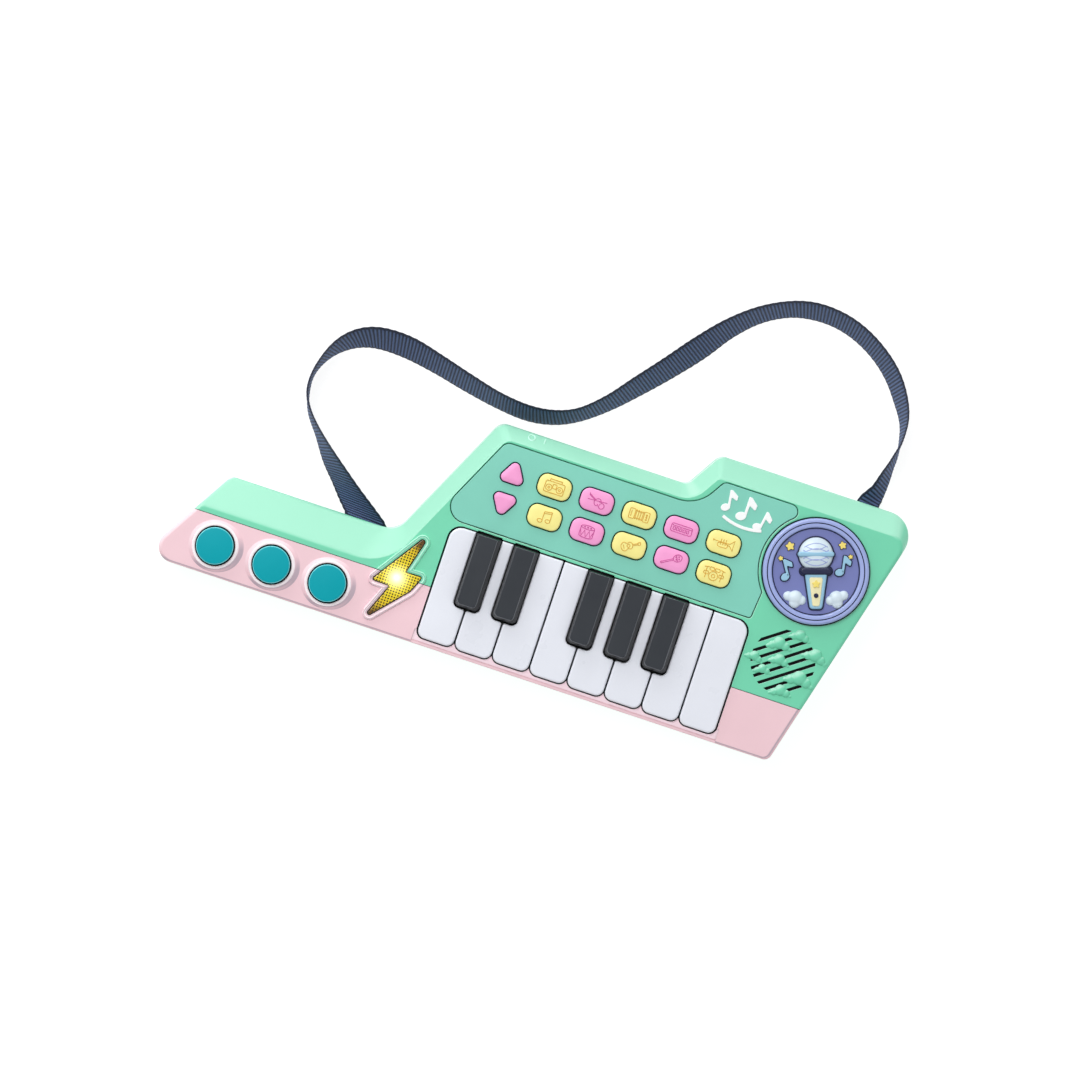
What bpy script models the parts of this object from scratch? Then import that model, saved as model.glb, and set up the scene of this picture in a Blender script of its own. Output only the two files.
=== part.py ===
"""Toy keytar: a strap-on electronic keyboard, built as separate mouldings, keys, buttons and internals.

Dimensions are in millimetres and become metres when a mesh is made. The toy lies on its back: +X runs
along it towards the keyboard end, +Y towards its upper edge, and +Z out of its playing face. The origin is
at the centre of the body's box, on the surface that it lies on.
"""
import math

import bmesh
import bpy
from mathutils import Vector

MM = 0.001

# ---- driving dimensions -------------------------------------------------------------------------
GAP = 0.35                    # clearance between neighbouring fixed pieces
WALL = 2.2                    # moulding thickness
Z_SPLIT = 14.7                # top of the rear shell
Z_SHOULDER = 24.0             # where the sloped band meets the side wall
Z_FACE = 36.0                 # playing face
Z_UNDER_FACE = Z_FACE - WALL
Y_COLOUR_SPLIT = -44.2        # joint between the two front mouldings
BODY_BOTTOM = -77.1

# Body outline, counter-clockwise: x, y, corner radius.
BODY = [(-206.0, BODY_BOTTOM, 9.0), (163.2, BODY_BOTTOM, 4.5), (203.3, 77.1, 14.0), (84.1, 77.1, 6.0),
        (71.3, 55.9, 7.0), (-38.9, 55.9, 6.7), (-75.4, -20.7, 14.0), (-172.6, -20.7, 4.5)]
# Width of the sloped band along each edge of BODY, and how much each corner's radius grows across it.
BAND = [0.0, 0.0, 12.5, 9.0, 8.1, 9.5, 19.8, 0.0]
BAND_RADIUS_GROWTH = [0.0, 0.0, -6.0, -2.5, 8.0, -1.0, 15.0, -2.0]

# Keyboard
KEY_COUNT = 8
KEY_PITCH = 22.0
KEY_GAP = 0.9
KEYS_LEFT = -46.3
KEYS_RIGHT = KEYS_LEFT + KEY_COUNT * KEY_PITCH
KEYS_FRONT = -73.5            # front edge of the opening
KEYS_REAR = -6.7              # rear edge of the opening
KEY_FRONT = KEYS_FRONT + 1.0
KEY_REAR = KEYS_REAR - 0.5
KEY_WALL = 1.6
Z_KEY_BOTTOM = 28.0
Z_WHITE = 38.0
Z_BLACK = 44.0
Z_BLACK_SHOULDER = 38.3
BLACK_GAPS = (1, 2, 4, 5, 6)  # the gaps between white keys that hold a black key
BLACK_WIDTH = 14.3
BLACK_TOP_WIDTH = 10.6
BLACK_FRONT = -49.5
BLACK_CLEARANCE = 0.5
BLACK_FRONT_CLEARANCE = 1.0
PIVOT_Y = -1.5
PIVOT_Z = 26.0
ROD_RADIUS = 1.6
PIVOT_HOLE_RADIUS = 2.0
TAIL_FRONT = -9.5
TAIL_REAR = 3.5
Z_TAIL = (21.5, 31.0)
Z_PLUNGER = 24.2
WHITE_PLUNGER_Y = -58.0
BLACK_PLUNGER_Y = -40.0

# Control panel and its buttons
PANEL_BOTTOM = -4.2
PANEL_TOP_LEFT = 45.8
PANEL_TOP_RIGHT = 63.2
PANEL_TIP_RADIUS = 4.0
PANEL_RISE = 0.3              # how far the panel stands proud of the face
Z_TAB = 30.8                  # underside of the panel's snap tabs
TAB_THICKNESS = 1.8
BUTTON_COLUMNS = [1.4 + 24.9 * column for column in range(5)]
BUTTON_ROWS = (30.5, 12.7)
BUTTON_SIZE = (18.9, 12.5)
BUTTON_RADIUS = 4.8
BUTTON_CLEARANCE = 0.6
Z_BUTTON_TOP = 38.2
Z_BUTTON_FLANGE = (31.6, 33.2)
FLANGE_MARGIN = 1.2
VOLUME_X = -22.9
VOLUME_UP_Y = (24.9, 36.9)    # base, apex
VOLUME_DOWN_Y = (18.4, 6.7)
VOLUME_WIDTH = 16.6
VOLUME_RADIUS = 2.8

# Medallion, neck buttons, lens and speaker
MEDALLION = (154.8, 31.9)
MEDALLION_RADIUS = 29.8
MEDALLION_DISH_RADIUS = 24.6
PANEL_ARC_RADIUS = 32.4
NECK_BUTTONS_X = (-168.3, -135.1, -102.1)
NECK_BUTTONS_Y = -60.4
NECK_BUTTON_RADIUS = 10.5
NECK_OPENING_RADIUS = 11.2
COLLAR_RADIUS = 12.9
Z_COLLAR = 37.3
SPEAKER = (153.4, -21.9)
GRILLE_RADIUS = 18.2
SLOT_WIDTH = 1.7
SLOT_PITCH = 4.5
SLOT_ANGLE = math.radians(36.0)
BOLT = [(-55.8, -15.2, 1.2), (-79.4, -50.4, 0.9), (-68.4, -50.5, 1.2), (-77.5, -73.1, 0.9),
        (-56.6, -49.8, 12.0), (-53.0, -40.7, 0.8), (-62.8, -41.0, 1.0)]
BOLT_CENTRE = (-66.4, -45.2)
BEZEL_WIDTH = 3.0             # raised edge round the lens
LENS_CLEARANCE = 0.5
LENS_FLANGE = 1.9
Z_LENS = 37.9

# Battery bay, switch, fasteners and strap anchors
CELL_RADIUS = 7.25
CELL_LENGTH = 50.5
CELL_PITCH = 14.9
CONTACT_THICKNESS = 0.8
BAY = (88.0, 145.0, 8.0, 56.0)          # tray outline: x, x, y, y
BAY_WALL = 1.5
Z_BAY_TOP = 19.5
DOOR = (91.0, 142.0, 11.0, 53.0)
DOOR_THICKNESS = 1.9
DOOR_EAR = (80.5, 92.0, 26.5, 37.5)
DOOR_SCREW = (84.4, 32.0)
SWITCH_X = -23.0
SWITCH_TRAVEL = 7.0
Z_SWITCH_OPENING = (16.9, 21.7)
SCREWS = [(-187.0, -67.5), (-53.0, -71.5), (150.0, -67.5), (188.0, 52.0), (22.0, 48.8)]
SCREW_HEAD_RADIUS = 2.8
SCREW_HOLE_RADIUS = 1.8
FRONT_BOSS_RADIUS = 3.5
REAR_BOSS_RADIUS = 4.6
REAR_CHAMFER = 1.6
STRAP_WIDTH = 25.0
STRAP_THICKNESS = 1.5
STRAP_FOLDED_WIDTH = 12.9     # at the right end, where the webbing is folded in half along its length
STRAP_SLOT_MARGIN = 1.5       # of each side of the slots beyond the webbing
Z_STRAP = 9.5
STRAP_FOLD = (11.0, 34.0)     # length that is folded, and length over which the fold opens
STRAP_LEVEL = (30.0, 11.0)    # length at each end that lies along its slot
STRAP_SETTLE = (50.0, 19.0)   # length at each end over which the webbing turns to lie along its slot
# The webbing's route between its anchors: x, y, and how many degrees it leans over from standing on its
# edge, so that 90 is flat. Its upper edge leans to the left of the route when this is positive.
STRAP_LEFT = [(-91.8, -30.5, -90.0), (-92.6, -24.5, -90.0)]
STRAP_RIGHT = [(171.4, 72.0, -90.0), (171.0, 65.5, -90.0)]
STRAP_ROUTE = STRAP_LEFT + [
    (-94.3, -19.5, -85.0), (-100.3, -14.0, -67.0), (-107.8, -7.5, -50.5), (-122.1, 5.0, -26.0),
    (-132.6, 15.8, -12.0), (-142.5, 27.3, -5.4), (-147.2, 38.0, 0.0), (-147.6, 49.1, 1.0),
    (-143.4, 60.9, 8.2),
    (-136.5, 70.3, 17.3), (-127.3, 76.7, 24.2), (-116.1, 79.6, 28.0), (-100.3, 79.3, 28.8),
    (-82.0, 75.7, 25.0), (-63.0, 71.1, 22.5), (-44.0, 67.2, 19.8), (-26.0, 65.7, 19.5), (-10.8, 68.1, 18.0),
    (2.3, 74.3, 16.4), (15.6, 85.7, 19.3), (28.2, 99.8, 24.7), (41.2, 114.9, 28.3), (54.0, 130.8, 30.5),
    (66.2, 146.2, 25.0), (79.7, 158.7, 20.7), (94.4, 167.1, 19.5), (108.2, 170.8, 20.5),
    (122.9, 170.7, 19.7), (137.0, 167.0, 19.0), (150.8, 159.7, 18.0), (162.4, 150.0, 17.6),
    (171.1, 138.3, 15.0), (176.4, 127.6, 8.2), (178.3, 116.0, 0.0), (178.0, 107.5, -8.0),
    (177.0, 100.0, -14.0), (175.3, 88.0, -31.0), (173.6, 83.0, -50.0), (172.0, 78.3, -80.0)] + STRAP_RIGHT
STRAP_STEP = 4.0              # spacing of the strap's sections

# Circuit boards, contact sheets (x, x, y, y, z, z) and the posts that carry the boards
KEY_BOARD = (-44.0, 127.0, -64.0, -12.0, 14.3, 15.9)
KEY_PAD = (-43.0, 126.0, -63.0, -34.0, 16.2, 17.4)
MAIN_BOARD = (-34.0, 116.0, 5.0, 42.0, 25.5, 27.1)
BUTTON_PAD = (-33.0, 115.0, 5.5, 41.0, 27.4, 28.4)
NECK_BOARD = (-182.0, -57.0, -67.5, -42.0, 20.0, 21.6)
NECK_PAD = (-180.0, -88.0, -66.5, -53.0, 21.9, 22.9)
MAIN_POSTS = [(x, y) for x in (-28.0, 70.0) for y in (10.0, 38.0)]
NECK_POSTS = [(x, -56.0) for x in (-176.0, -118.6, -90.0)]


# ---- outlines -----------------------------------------------------------------------------------
def circle(x, y, radius, sides=24, start=0.0):
    return [(x + radius * math.cos(start + 2 * math.pi * k / sides),
             y + radius * math.sin(start + 2 * math.pi * k / sides)) for k in range(sides)]


def arc(x, y, radius, first, last, steps):
    """Points of an arc from one angle to the other, in degrees, both included."""
    angles = [math.radians(first + (last - first) * k / steps) for k in range(steps + 1)]
    return [(x + radius * math.cos(a), y + radius * math.sin(a)) for a in angles]


def rounded(corners, step=22.5):
    """Outline through (x, y, radius) corners, with an arc of about step degrees a side at each."""
    outline = []
    for index, (x, y, radius) in enumerate(corners):
        here = Vector((x, y))
        if radius == 0:
            outline.append((x, y))
            continue
        back = (Vector(corners[index - 1][:2]) - here).normalized()
        ahead = (Vector(corners[(index + 1) % len(corners)][:2]) - here).normalized()
        half = back.angle(ahead) / 2
        centre = here + (back + ahead).normalized() * (radius / math.sin(half))
        start = here + back * (radius / math.tan(half)) - centre
        end = here + ahead * (radius / math.tan(half)) - centre
        first = math.atan2(start.y, start.x)
        turn = (math.atan2(end.y, end.x) - first + math.pi) % (2 * math.pi) - math.pi
        steps = max(2, round(abs(math.degrees(turn)) / step))
        for k in range(steps + 1):
            angle = first + turn * k / steps
            outline.append((centre.x + radius * math.cos(angle), centre.y + radius * math.sin(angle)))
    return outline


def rectangle(x0, x1, y0, y1, radius=0.0):
    return [(x0, y0, radius), (x1, y0, radius), (x1, y1, radius), (x0, y1, radius)]


def inset(corners, distances, growth=None):
    """Move each edge of a counter-clockwise (x, y, radius) outline inwards by its own distance."""
    count = len(corners)
    growth = growth or [0.0] * count
    lines = []
    for index in range(count):
        start = Vector(corners[index][:2])
        along = (Vector(corners[(index + 1) % count][:2]) - start).normalized()
        lines.append((start + Vector((-along.y, along.x)) * distances[index], along))
    moved = []
    for index in range(count):
        (point, along), (other, beside) = lines[index - 1], lines[index]
        reach = (other - point).cross(beside) / along.cross(beside)
        meet = point + along * reach
        moved.append((meet.x, meet.y, max(corners[index][2] + growth[index], 0.0)))
    return moved


def shrink(corners, distance):
    """Inset every edge alike; an outer corner's radius shrinks and an inner corner's radius grows."""
    growth = []
    for index, (x, y, radius) in enumerate(corners):
        before = Vector((x, y)) - Vector(corners[index - 1][:2])
        after = Vector(corners[(index + 1) % len(corners)][:2]) - Vector((x, y))
        growth.append(-distance if before.cross(after) > 0 else distance * (radius > 0))
    return inset(corners, [distance] * len(corners), growth)


def swell(outline, distance):
    """Move each point of a counter-clockwise outline outwards, square to its neighbours."""
    moved = []
    for index, (x, y) in enumerate(outline):
        before = (Vector((x, y)) - Vector(outline[index - 1])).normalized()
        after = (Vector(outline[(index + 1) % len(outline)]) - Vector((x, y))).normalized()
        normal = Vector((before.y + after.y, -before.x - after.x)).normalized()
        stretch = 1 / max(normal.dot(Vector((after.y, -after.x))), 0.5)
        moved.append((x + normal.x * distance * stretch, y + normal.y * distance * stretch))
    return moved


def scaled(outline, centre, factor):
    return [(centre[0] + (x - centre[0]) * factor, centre[1] + (y - centre[1]) * factor)
            for x, y in outline]


def band_outline(z):
    """The roof's outline at height z, where the sloped band is as wide as it is at that height."""
    share = (z - Z_SHOULDER) / (Z_FACE - Z_SHOULDER)
    return rounded(inset(BODY, [width * share for width in BAND],
                         [change * share for change in BAND_RADIUS_GROWTH]))


def panel_outline():
    x, y = MEDALLION
    tip_y = PANEL_TOP_RIGHT - PANEL_TIP_RADIUS
    reach = PANEL_ARC_RADIUS + PANEL_TIP_RADIUS
    tip_x = x - math.sqrt(reach ** 2 - (tip_y - y) ** 2)
    meet = math.degrees(math.atan2(tip_y - y, tip_x - x))
    around_medallion = [(px, py, 0.0) for px, py in arc(x, y, PANEL_ARC_RADIUS, 219.0, meet, 9)]
    tip = [(px, py, 0.0) for px, py in arc(tip_x, tip_y, PANEL_TIP_RADIUS, meet - 180.0, 90.0, 6)[1:]]
    return rounded([(-55.9, PANEL_BOTTOM, 9.0), (128.2, PANEL_BOTTOM, 1.5)] + around_medallion + tip +
                   [(91.0, PANEL_TOP_RIGHT, 4.0), (80.5, PANEL_TOP_LEFT, 20.0),
                    (-32.0, PANEL_TOP_LEFT, 5.0)])


def volume_outline(base, apex):
    """A rounded triangle that points from its base to its apex."""
    overshoot = VOLUME_RADIUS * 0.9 * math.copysign(1, apex - base)
    half = VOLUME_WIDTH / 2
    corners = [(VOLUME_X - half, base, VOLUME_RADIUS), (VOLUME_X + half, base, VOLUME_RADIUS),
               (VOLUME_X, apex + overshoot, VOLUME_RADIUS)]
    return rounded(corners if apex > base else corners[::-1], 30.0)


def button_outline(x, y, margin=0.0):
    width, height = BUTTON_SIZE
    return rounded(rectangle(x - width / 2 - margin, x + width / 2 + margin, y - height / 2 - margin,
                             y + height / 2 + margin, BUTTON_RADIUS + margin), 30.0)


# ---- solids -------------------------------------------------------------------------------------
def new_object(name, mesh_builder):
    mesh = bpy.data.meshes.new(name)
    bmesh.ops.recalc_face_normals(mesh_builder, faces=mesh_builder.faces)
    mesh_builder.to_mesh(mesh)
    mesh_builder.free()
    item = bpy.data.objects.new(name, mesh)
    bpy.context.scene.collection.objects.link(item)
    return item


def loft(*rings):
    """Closed body through rings of equal count, each a pair (outline, z)."""
    builder = bmesh.new()
    loops = [[builder.verts.new((x * MM, y * MM, z * MM)) for x, y in outline] for outline, z in rings]
    add_skin(builder, loops)
    return new_object("solid", builder)


def add_skin(builder, loops):
    """Join neighbouring loops of vertices with faces and fill the two ends."""
    count = len(loops[0])
    for lower, upper in zip(loops, loops[1:]):
        for k in range(count):
            follow = (k + 1) % count
            builder.faces.new((lower[k], lower[follow], upper[follow], upper[k]))
    builder.faces.new(loops[0][::-1])
    builder.faces.new(loops[-1])


def prism(outline, z0, z1):
    return loft((outline, z0), (outline, z1))


def block(x0, x1, y0, y1, z0, z1):
    return prism([(x0, y0), (x1, y0), (x1, y1), (x0, y1)], z0, z1)


def turned(x, y, profile, sides=24):
    """Solid of revolution about a vertical axis; the profile's (radius, z) ends lie on the axis."""
    builder = bmesh.new()
    ends = [builder.verts.new((x * MM, y * MM, profile[k][1] * MM)) for k in (0, -1)]
    loops = []
    for radius, z in profile[1:-1]:
        loops.append([builder.verts.new((px * MM, py * MM, z * MM))
                      for px, py in circle(x, y, radius, sides)])
    for lower, upper in zip(loops, loops[1:]):
        for k in range(sides):
            follow = (k + 1) % sides
            builder.faces.new((lower[k], lower[follow], upper[follow], upper[k]))
    for end, loop in zip(ends, (loops[0], loops[-1])):
        for k in range(sides):
            builder.faces.new((end, loop[k], loop[(k + 1) % sides]))
    return new_object("solid", builder)


def rod_along_x(x0, x1, y, z, radius, sides=12):
    builder = bmesh.new()
    loops = [[builder.verts.new((x * MM, py * MM, pz * MM)) for py, pz in circle(y, z, radius, sides)]
             for x in (x0, x1)]
    add_skin(builder, loops)
    return new_object("solid", builder)


def grouped(*items):
    """Several separate solids in one mesh."""
    builder = bmesh.new()
    for item in items:
        builder.from_mesh(item.data)
        bpy.data.objects.remove(item)
    return new_object("solid", builder)


def combine(body, operation, *others):
    for other in others:
        modifier = body.modifiers.new(operation, "BOOLEAN")
        modifier.operation = operation
        modifier.solver = "EXACT"
        modifier.object = other
    bpy.context.view_layer.update()
    graph = bpy.context.evaluated_depsgraph_get()
    mesh = bpy.data.meshes.new_from_object(body.evaluated_get(graph))
    body.modifiers.clear()
    body.data = mesh
    for other in others:
        bpy.data.objects.remove(other)
    return body


def cut(body, *cutters):
    return combine(body, "DIFFERENCE", *cutters)


def joined(body, *others):
    return combine(body, "UNION", *others)


def common(body, *others):
    return combine(body, "INTERSECT", *others)


# ---- materials and assembly ---------------------------------------------------------------------
def linear(*channels):
    """Linear colour from 0-255 display values."""
    values = [c / 255 for c in channels]
    return [v / 12.92 if v <= 0.04045 else ((v + 0.055) / 1.055) ** 2.4 for v in values] + [1.0]


def material(name, colour, roughness, metallic=0.0):
    entry = bpy.data.materials.new(name)
    entry.use_nodes = True
    shader = entry.node_tree.nodes["Principled BSDF"]
    shader.inputs["Base Color"].default_value = colour
    shader.inputs["Roughness"].default_value = roughness
    shader.inputs["Metallic"].default_value = metallic
    entry.diffuse_color = colour
    return entry


def make_materials():
    return {
        "mint": material("mint_plastic", linear(128, 224, 186), 0.45),
        "pink": material("pink_plastic", linear(240, 204, 212), 0.45),
        "teal": material("panel_plastic", linear(126, 208, 188), 0.4),
        "white": material("white_plastic", linear(238, 240, 246), 0.3),
        "black": material("black_plastic", linear(44, 46, 50), 0.35),
        "yellow_button": material("yellow_button", linear(250, 236, 140), 0.4),
        "pink_button": material("pink_button", linear(244, 164, 212), 0.4),
        "neck_button": material("neck_button", linear(0, 172, 186), 0.35),
        "medallion": material("medallion_plastic", linear(126, 134, 190), 0.35),
        "lens": material("amber_lens", linear(242, 210, 42), 0.15),
        "inner": material("inner_plastic", linear(210, 212, 208), 0.55),
        "board": material("circuit_board", linear(34, 98, 62), 0.5),
        "silicone": material("silicone", linear(206, 208, 206), 0.7),
        "steel": material("steel", linear(190, 190, 192), 0.35, 1.0),
        "speaker": material("speaker_steel", linear(92, 94, 98), 0.45, 1.0),
        "paper": material("speaker_cone", linear(40, 40, 42), 0.85),
        "cell": material("cell_wrap", linear(70, 96, 128), 0.4),
        "webbing": material("navy_webbing", linear(38, 56, 96), 0.9),
    }


def finish(name, item, surface, origin=(0.0, 0.0, 0.0)):
    """Name a piece, give it its material and put its origin, in millimetres, on its joint's axis."""
    item.name = name
    item.data.name = name
    place = Vector(origin) * MM
    for vertex in item.data.vertices:
        vertex.co -= place
    item.location = place
    item.data.materials.clear()
    item.data.materials.append(surface)
    item.data.shade_smooth()
    item.data.set_sharp_from_angle(angle=math.radians(32))
    item.parent = ASSEMBLY
    return item


# ---- casing -------------------------------------------------------------------------------------
def key_opening():
    corners = rectangle(KEYS_LEFT - 0.1, KEYS_RIGHT + 0.1, KEYS_FRONT, KEYS_REAR, 2.5)
    for index in (2, 3):
        corners[index] = corners[index][:2] + (7.5,)
    return prism(rounded(corners), Z_FACE - 2 * WALL, Z_FACE + WALL)


def grille_slots():
    slots = []
    along = Vector((math.cos(SLOT_ANGLE), math.sin(SLOT_ANGLE)))
    across = Vector((-along.y, along.x))
    for row in range(-3, 5):
        offset = (row - 0.5) * SLOT_PITCH
        half = math.sqrt((GRILLE_RADIUS - 0.4) ** 2 - offset ** 2)
        middle = Vector(SPEAKER) + across * offset
        corners = [middle + along * half * side + across * SLOT_WIDTH / 2 * turn
                   for side, turn in ((-1, -1), (1, -1), (1, 1), (-1, 1))]
        slots.append(prism([(c.x, c.y) for c in corners], Z_FACE - 2 * WALL, Z_FACE + WALL))
    return slots


def bolt_outline(margin):
    """The lens's outline, moved outwards by a margin."""
    return rounded(shrink(BOLT, -margin), 30.0)


def front_casing():
    """The whole front moulding before it is parted: sloped band, hollow, bosses and openings."""
    through = (Z_FACE - 2 * WALL, Z_FACE + 5)
    roof = loft((band_outline(Z_SHOULDER - 4), 5.0), (band_outline(Z_SHOULDER - 4), Z_SHOULDER - 4),
                (band_outline(Z_FACE), Z_FACE))
    casing = common(prism(rounded(BODY), Z_SPLIT + GAP, Z_FACE + 5), roof)
    drop = WALL + 0.4
    inner_roof = loft((swell(band_outline(Z_SHOULDER - 4), -0.9), 2.0),
                      (swell(band_outline(Z_SHOULDER - 4), -0.9), Z_SHOULDER - 4 - drop),
                      (swell(band_outline(Z_FACE), -0.9), Z_FACE - drop + 0.4))
    hollow = common(prism(rounded(shrink(BODY, WALL)), 5.0, Z_UNDER_FACE), inner_roof)
    hollow = cut(hollow, grouped(*[prism(circle(x, y, FRONT_BOSS_RADIUS, 12), 0.0, Z_FACE + 5)
                                   for x, y in SCREWS]))
    collars = [prism(circle(x, NECK_BUTTONS_Y, COLLAR_RADIUS), Z_FACE - 1, Z_COLLAR)
               for x in NECK_BUTTONS_X]
    bezel = prism(bolt_outline(BEZEL_WIDTH), Z_FACE - 1, Z_COLLAR)
    casing = cut(joined(casing, grouped(*collars), bezel), hollow)
    pierced = [key_opening(), prism(swell(panel_outline(), GAP), *through),
               prism(circle(*MEDALLION, MEDALLION_RADIUS + 0.5, 36), *through),
               prism(bolt_outline(LENS_CLEARANCE), *through),
               block(SWITCH_X - 4.0, SWITCH_X + SWITCH_TRAVEL + 4.0, 50.0, 60.0, *Z_SWITCH_OPENING)]
    pierced += [prism(circle(x, NECK_BUTTONS_Y, NECK_OPENING_RADIUS), *through) for x in NECK_BUTTONS_X]
    pierced += [prism(circle(x, y, SCREW_HOLE_RADIUS, 8), 10.0, 24.0) for x, y in SCREWS]
    return cut(casing, grouped(*pierced, *grille_slots()))


def front_half(lower):
    """One of the two front mouldings, on its own side of the colour joint."""
    half_gap = GAP / 2
    low, high = (-90.0, Y_COLOUR_SPLIT - half_gap) if lower else (Y_COLOUR_SPLIT + half_gap, 90.0)
    return common(front_casing(), block(-220.0, 220.0, low, high, 0.0, 60.0))


def rear_shell():
    outer = loft((rounded(inset(BODY, [REAR_CHAMFER] * len(BODY))), 0.0), (rounded(BODY), REAR_CHAMFER),
                 (rounded(BODY), Z_SPLIT))
    shell = cut(outer, prism(rounded(shrink(BODY, WALL)), WALL, Z_SPLIT + 5))
    posts = [prism(circle(x, y, REAR_BOSS_RADIUS, 10), 1.0, Z_SPLIT - GAP) for x, y in SCREWS]
    posts += [prism(circle(x, y, 2.8, 8), 1.0, MAIN_BOARD[4] - 0.4) for x, y in MAIN_POSTS]
    posts += [prism(circle(x, y, 2.5, 8), 1.0, NECK_BOARD[4] - 0.4) for x, y in NECK_POSTS]
    anchors = [strap_anchor(STRAP_LEFT[1][0] + 0.5, STRAP_LEFT[0][1] - 2.5, STRAP_WIDTH),
               strap_anchor(STRAP_RIGHT[1][0], STRAP_RIGHT[1][1] - 2.5, STRAP_FOLDED_WIDTH)]
    shell = joined(shell, grouped(*posts), grouped(*anchors))
    holes = [prism(circle(x, y, SCREW_HEAD_RADIUS + 0.4, 12), -1.0, 5.0) for x, y in SCREWS]
    shanks = [prism(circle(x, y, SCREW_HOLE_RADIUS, 8), 4.0, Z_SPLIT + 5) for x, y in SCREWS]
    slots = [strap_slot(STRAP_LEFT[1][0] - 0.9, STRAP_WIDTH, -26.0, -18.0),
             strap_slot(STRAP_RIGHT[0][0] + 0.3, STRAP_FOLDED_WIDTH, 73.0, 80.0)]
    return cut(shell, grouped(*holes, *slots), grouped(*shanks), battery_door_blank(GAP, -1.0, WALL + 1))


# ---- keys ---------------------------------------------------------------------------------------
def white_key(index):
    left = KEYS_LEFT + index * KEY_PITCH + KEY_GAP / 2
    right = left + KEY_PITCH - KEY_GAP
    notch = BLACK_WIDTH / 2 + BLACK_CLEARANCE - KEY_GAP / 2
    notch_y = BLACK_FRONT - BLACK_FRONT_CLEARANCE
    right_cut, left_cut = (index + 1) in BLACK_GAPS, index in BLACK_GAPS
    corners = [(left, KEY_FRONT, 2.5), (right, KEY_FRONT, 2.5)]
    rear_right, rear_left = right - notch * right_cut, left + notch * left_cut
    if right_cut:
        corners += [(right, notch_y, 0.8), (rear_right, notch_y, 2.4)]
    corners.append((rear_right, KEY_REAR, 7.0 * (index == KEY_COUNT - 1)))
    corners.append((rear_left, KEY_REAR, 7.0 * (index == 0)))
    if left_cut:
        corners += [(rear_left, notch_y, 2.4), (left, notch_y, 0.8)]
    top = inset(corners, [0.7] * len(corners))
    key = loft((rounded(corners, 45.0), Z_KEY_BOTTOM), (rounded(corners, 45.0), Z_WHITE - 0.7),
               (rounded(top, 45.0), Z_WHITE))
    hollow = prism(rounded(shrink(corners, KEY_WALL), 45.0), Z_KEY_BOTTOM - 1, Z_WHITE - 2)
    middle = (left + right) / 2
    plunger = block(middle - 1.5, middle + 1.5, WHITE_PLUNGER_Y - 2, WHITE_PLUNGER_Y + 2, Z_PLUNGER,
                    Z_WHITE - 1)
    return with_tail(cut(key, hollow), rear_left + 0.2, rear_right - 0.2, plunger)


def black_key(gap):
    middle = KEYS_LEFT + gap * KEY_PITCH
    half, top_half = BLACK_WIDTH / 2, BLACK_TOP_WIDTH / 2
    side = half - top_half
    corners = rectangle(middle - half, middle + half, BLACK_FRONT, KEY_REAR)
    for index in (0, 1):
        corners[index] = corners[index][:2] + (3.0,)
    top = inset(corners, [3.2, side, 0.0, side])
    hollow_top = shrink(top, KEY_WALL)
    base, inner = rounded(corners, 30.0), rounded(shrink(corners, KEY_WALL), 30.0)
    key = loft((base, Z_KEY_BOTTOM), (base, Z_BLACK_SHOULDER), (rounded(top, 30.0), Z_BLACK))
    hollow = loft((inner, Z_KEY_BOTTOM - 1), (inner, Z_BLACK_SHOULDER - 1),
                  (rounded(hollow_top, 30.0), Z_BLACK - 2.2))
    plunger = block(middle - 1.5, middle + 1.5, BLACK_PLUNGER_Y - 2, BLACK_PLUNGER_Y + 2, Z_PLUNGER,
                    Z_BLACK - 1)
    return with_tail(cut(key, hollow), middle - 6.3, middle + 6.3, plunger)


def with_tail(key, left, right, plunger):
    """Add the plunger that closes the contact, and the tail that turns on the pivot rod."""
    tail = block(left, right, TAIL_FRONT, TAIL_REAR, *Z_TAIL)
    key = joined(key, plunger, tail)
    return cut(key, rod_along_x(left - 2, right + 2, PIVOT_Y, PIVOT_Z, PIVOT_HOLE_RADIUS))


def key_bed():
    """Frame under the keys: plate, legs, and a rear rail whose cheeks hold the pivot rod."""
    left, right = KEYS_LEFT - 3.0, KEYS_RIGHT + 3.0
    bed = block(KEYS_LEFT + 0.3, KEYS_RIGHT - 0.3, -66.0, 2.0, 12.0, 14.0)       # plate under the board
    rail = block(left, right, -7.0, 5.0, 13.0, 20.5)
    cheeks = [block(x, x + 2.2, -5.0, 2.5, 19.0, 29.5) for x in (left, right - 2.2)]
    legs = [prism(circle(x, y, 3.0, 8), 2.5, 13.0) for x in (-40.0, 41.0, 123.0) for y in (-60.0, -1.0)]
    bed = joined(bed, rail, grouped(*cheeks), grouped(*legs))
    return cut(bed, rod_along_x(left - 2, right + 2, PIVOT_Y, PIVOT_Z, ROD_RADIUS + GAP))


def key_middles():
    """Where each key's plunger comes down: white keys first, then black."""
    whites = [(KEYS_LEFT + (index + 0.5) * KEY_PITCH, WHITE_PLUNGER_Y) for index in range(KEY_COUNT)]
    return whites + [(KEYS_LEFT + gap * KEY_PITCH, BLACK_PLUNGER_Y) for gap in BLACK_GAPS]


def contact_pad(box, domes, dome_top, radius):
    """Silicone sheet with a dome under each key or button."""
    foot = box[4] + 0.4
    bumps = [loft((circle(x, y, radius, 8), foot), (circle(x, y, radius * 0.6, 8), dome_top))
             for x, y in domes]
    return joined(block(*box), grouped(*bumps))


# ---- buttons ------------------------------------------------------------------------------------
def cap_button(outline):
    """A moulded button: retaining flange, straight body and a slightly rounded top."""
    flange = swell(outline, FLANGE_MARGIN)
    low, high = Z_BUTTON_FLANGE
    return joined(loft((outline, high - 0.5), (outline, Z_BUTTON_TOP - 0.9),
                       (swell(outline, -0.9), Z_BUTTON_TOP)), prism(flange, low, high))


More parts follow.
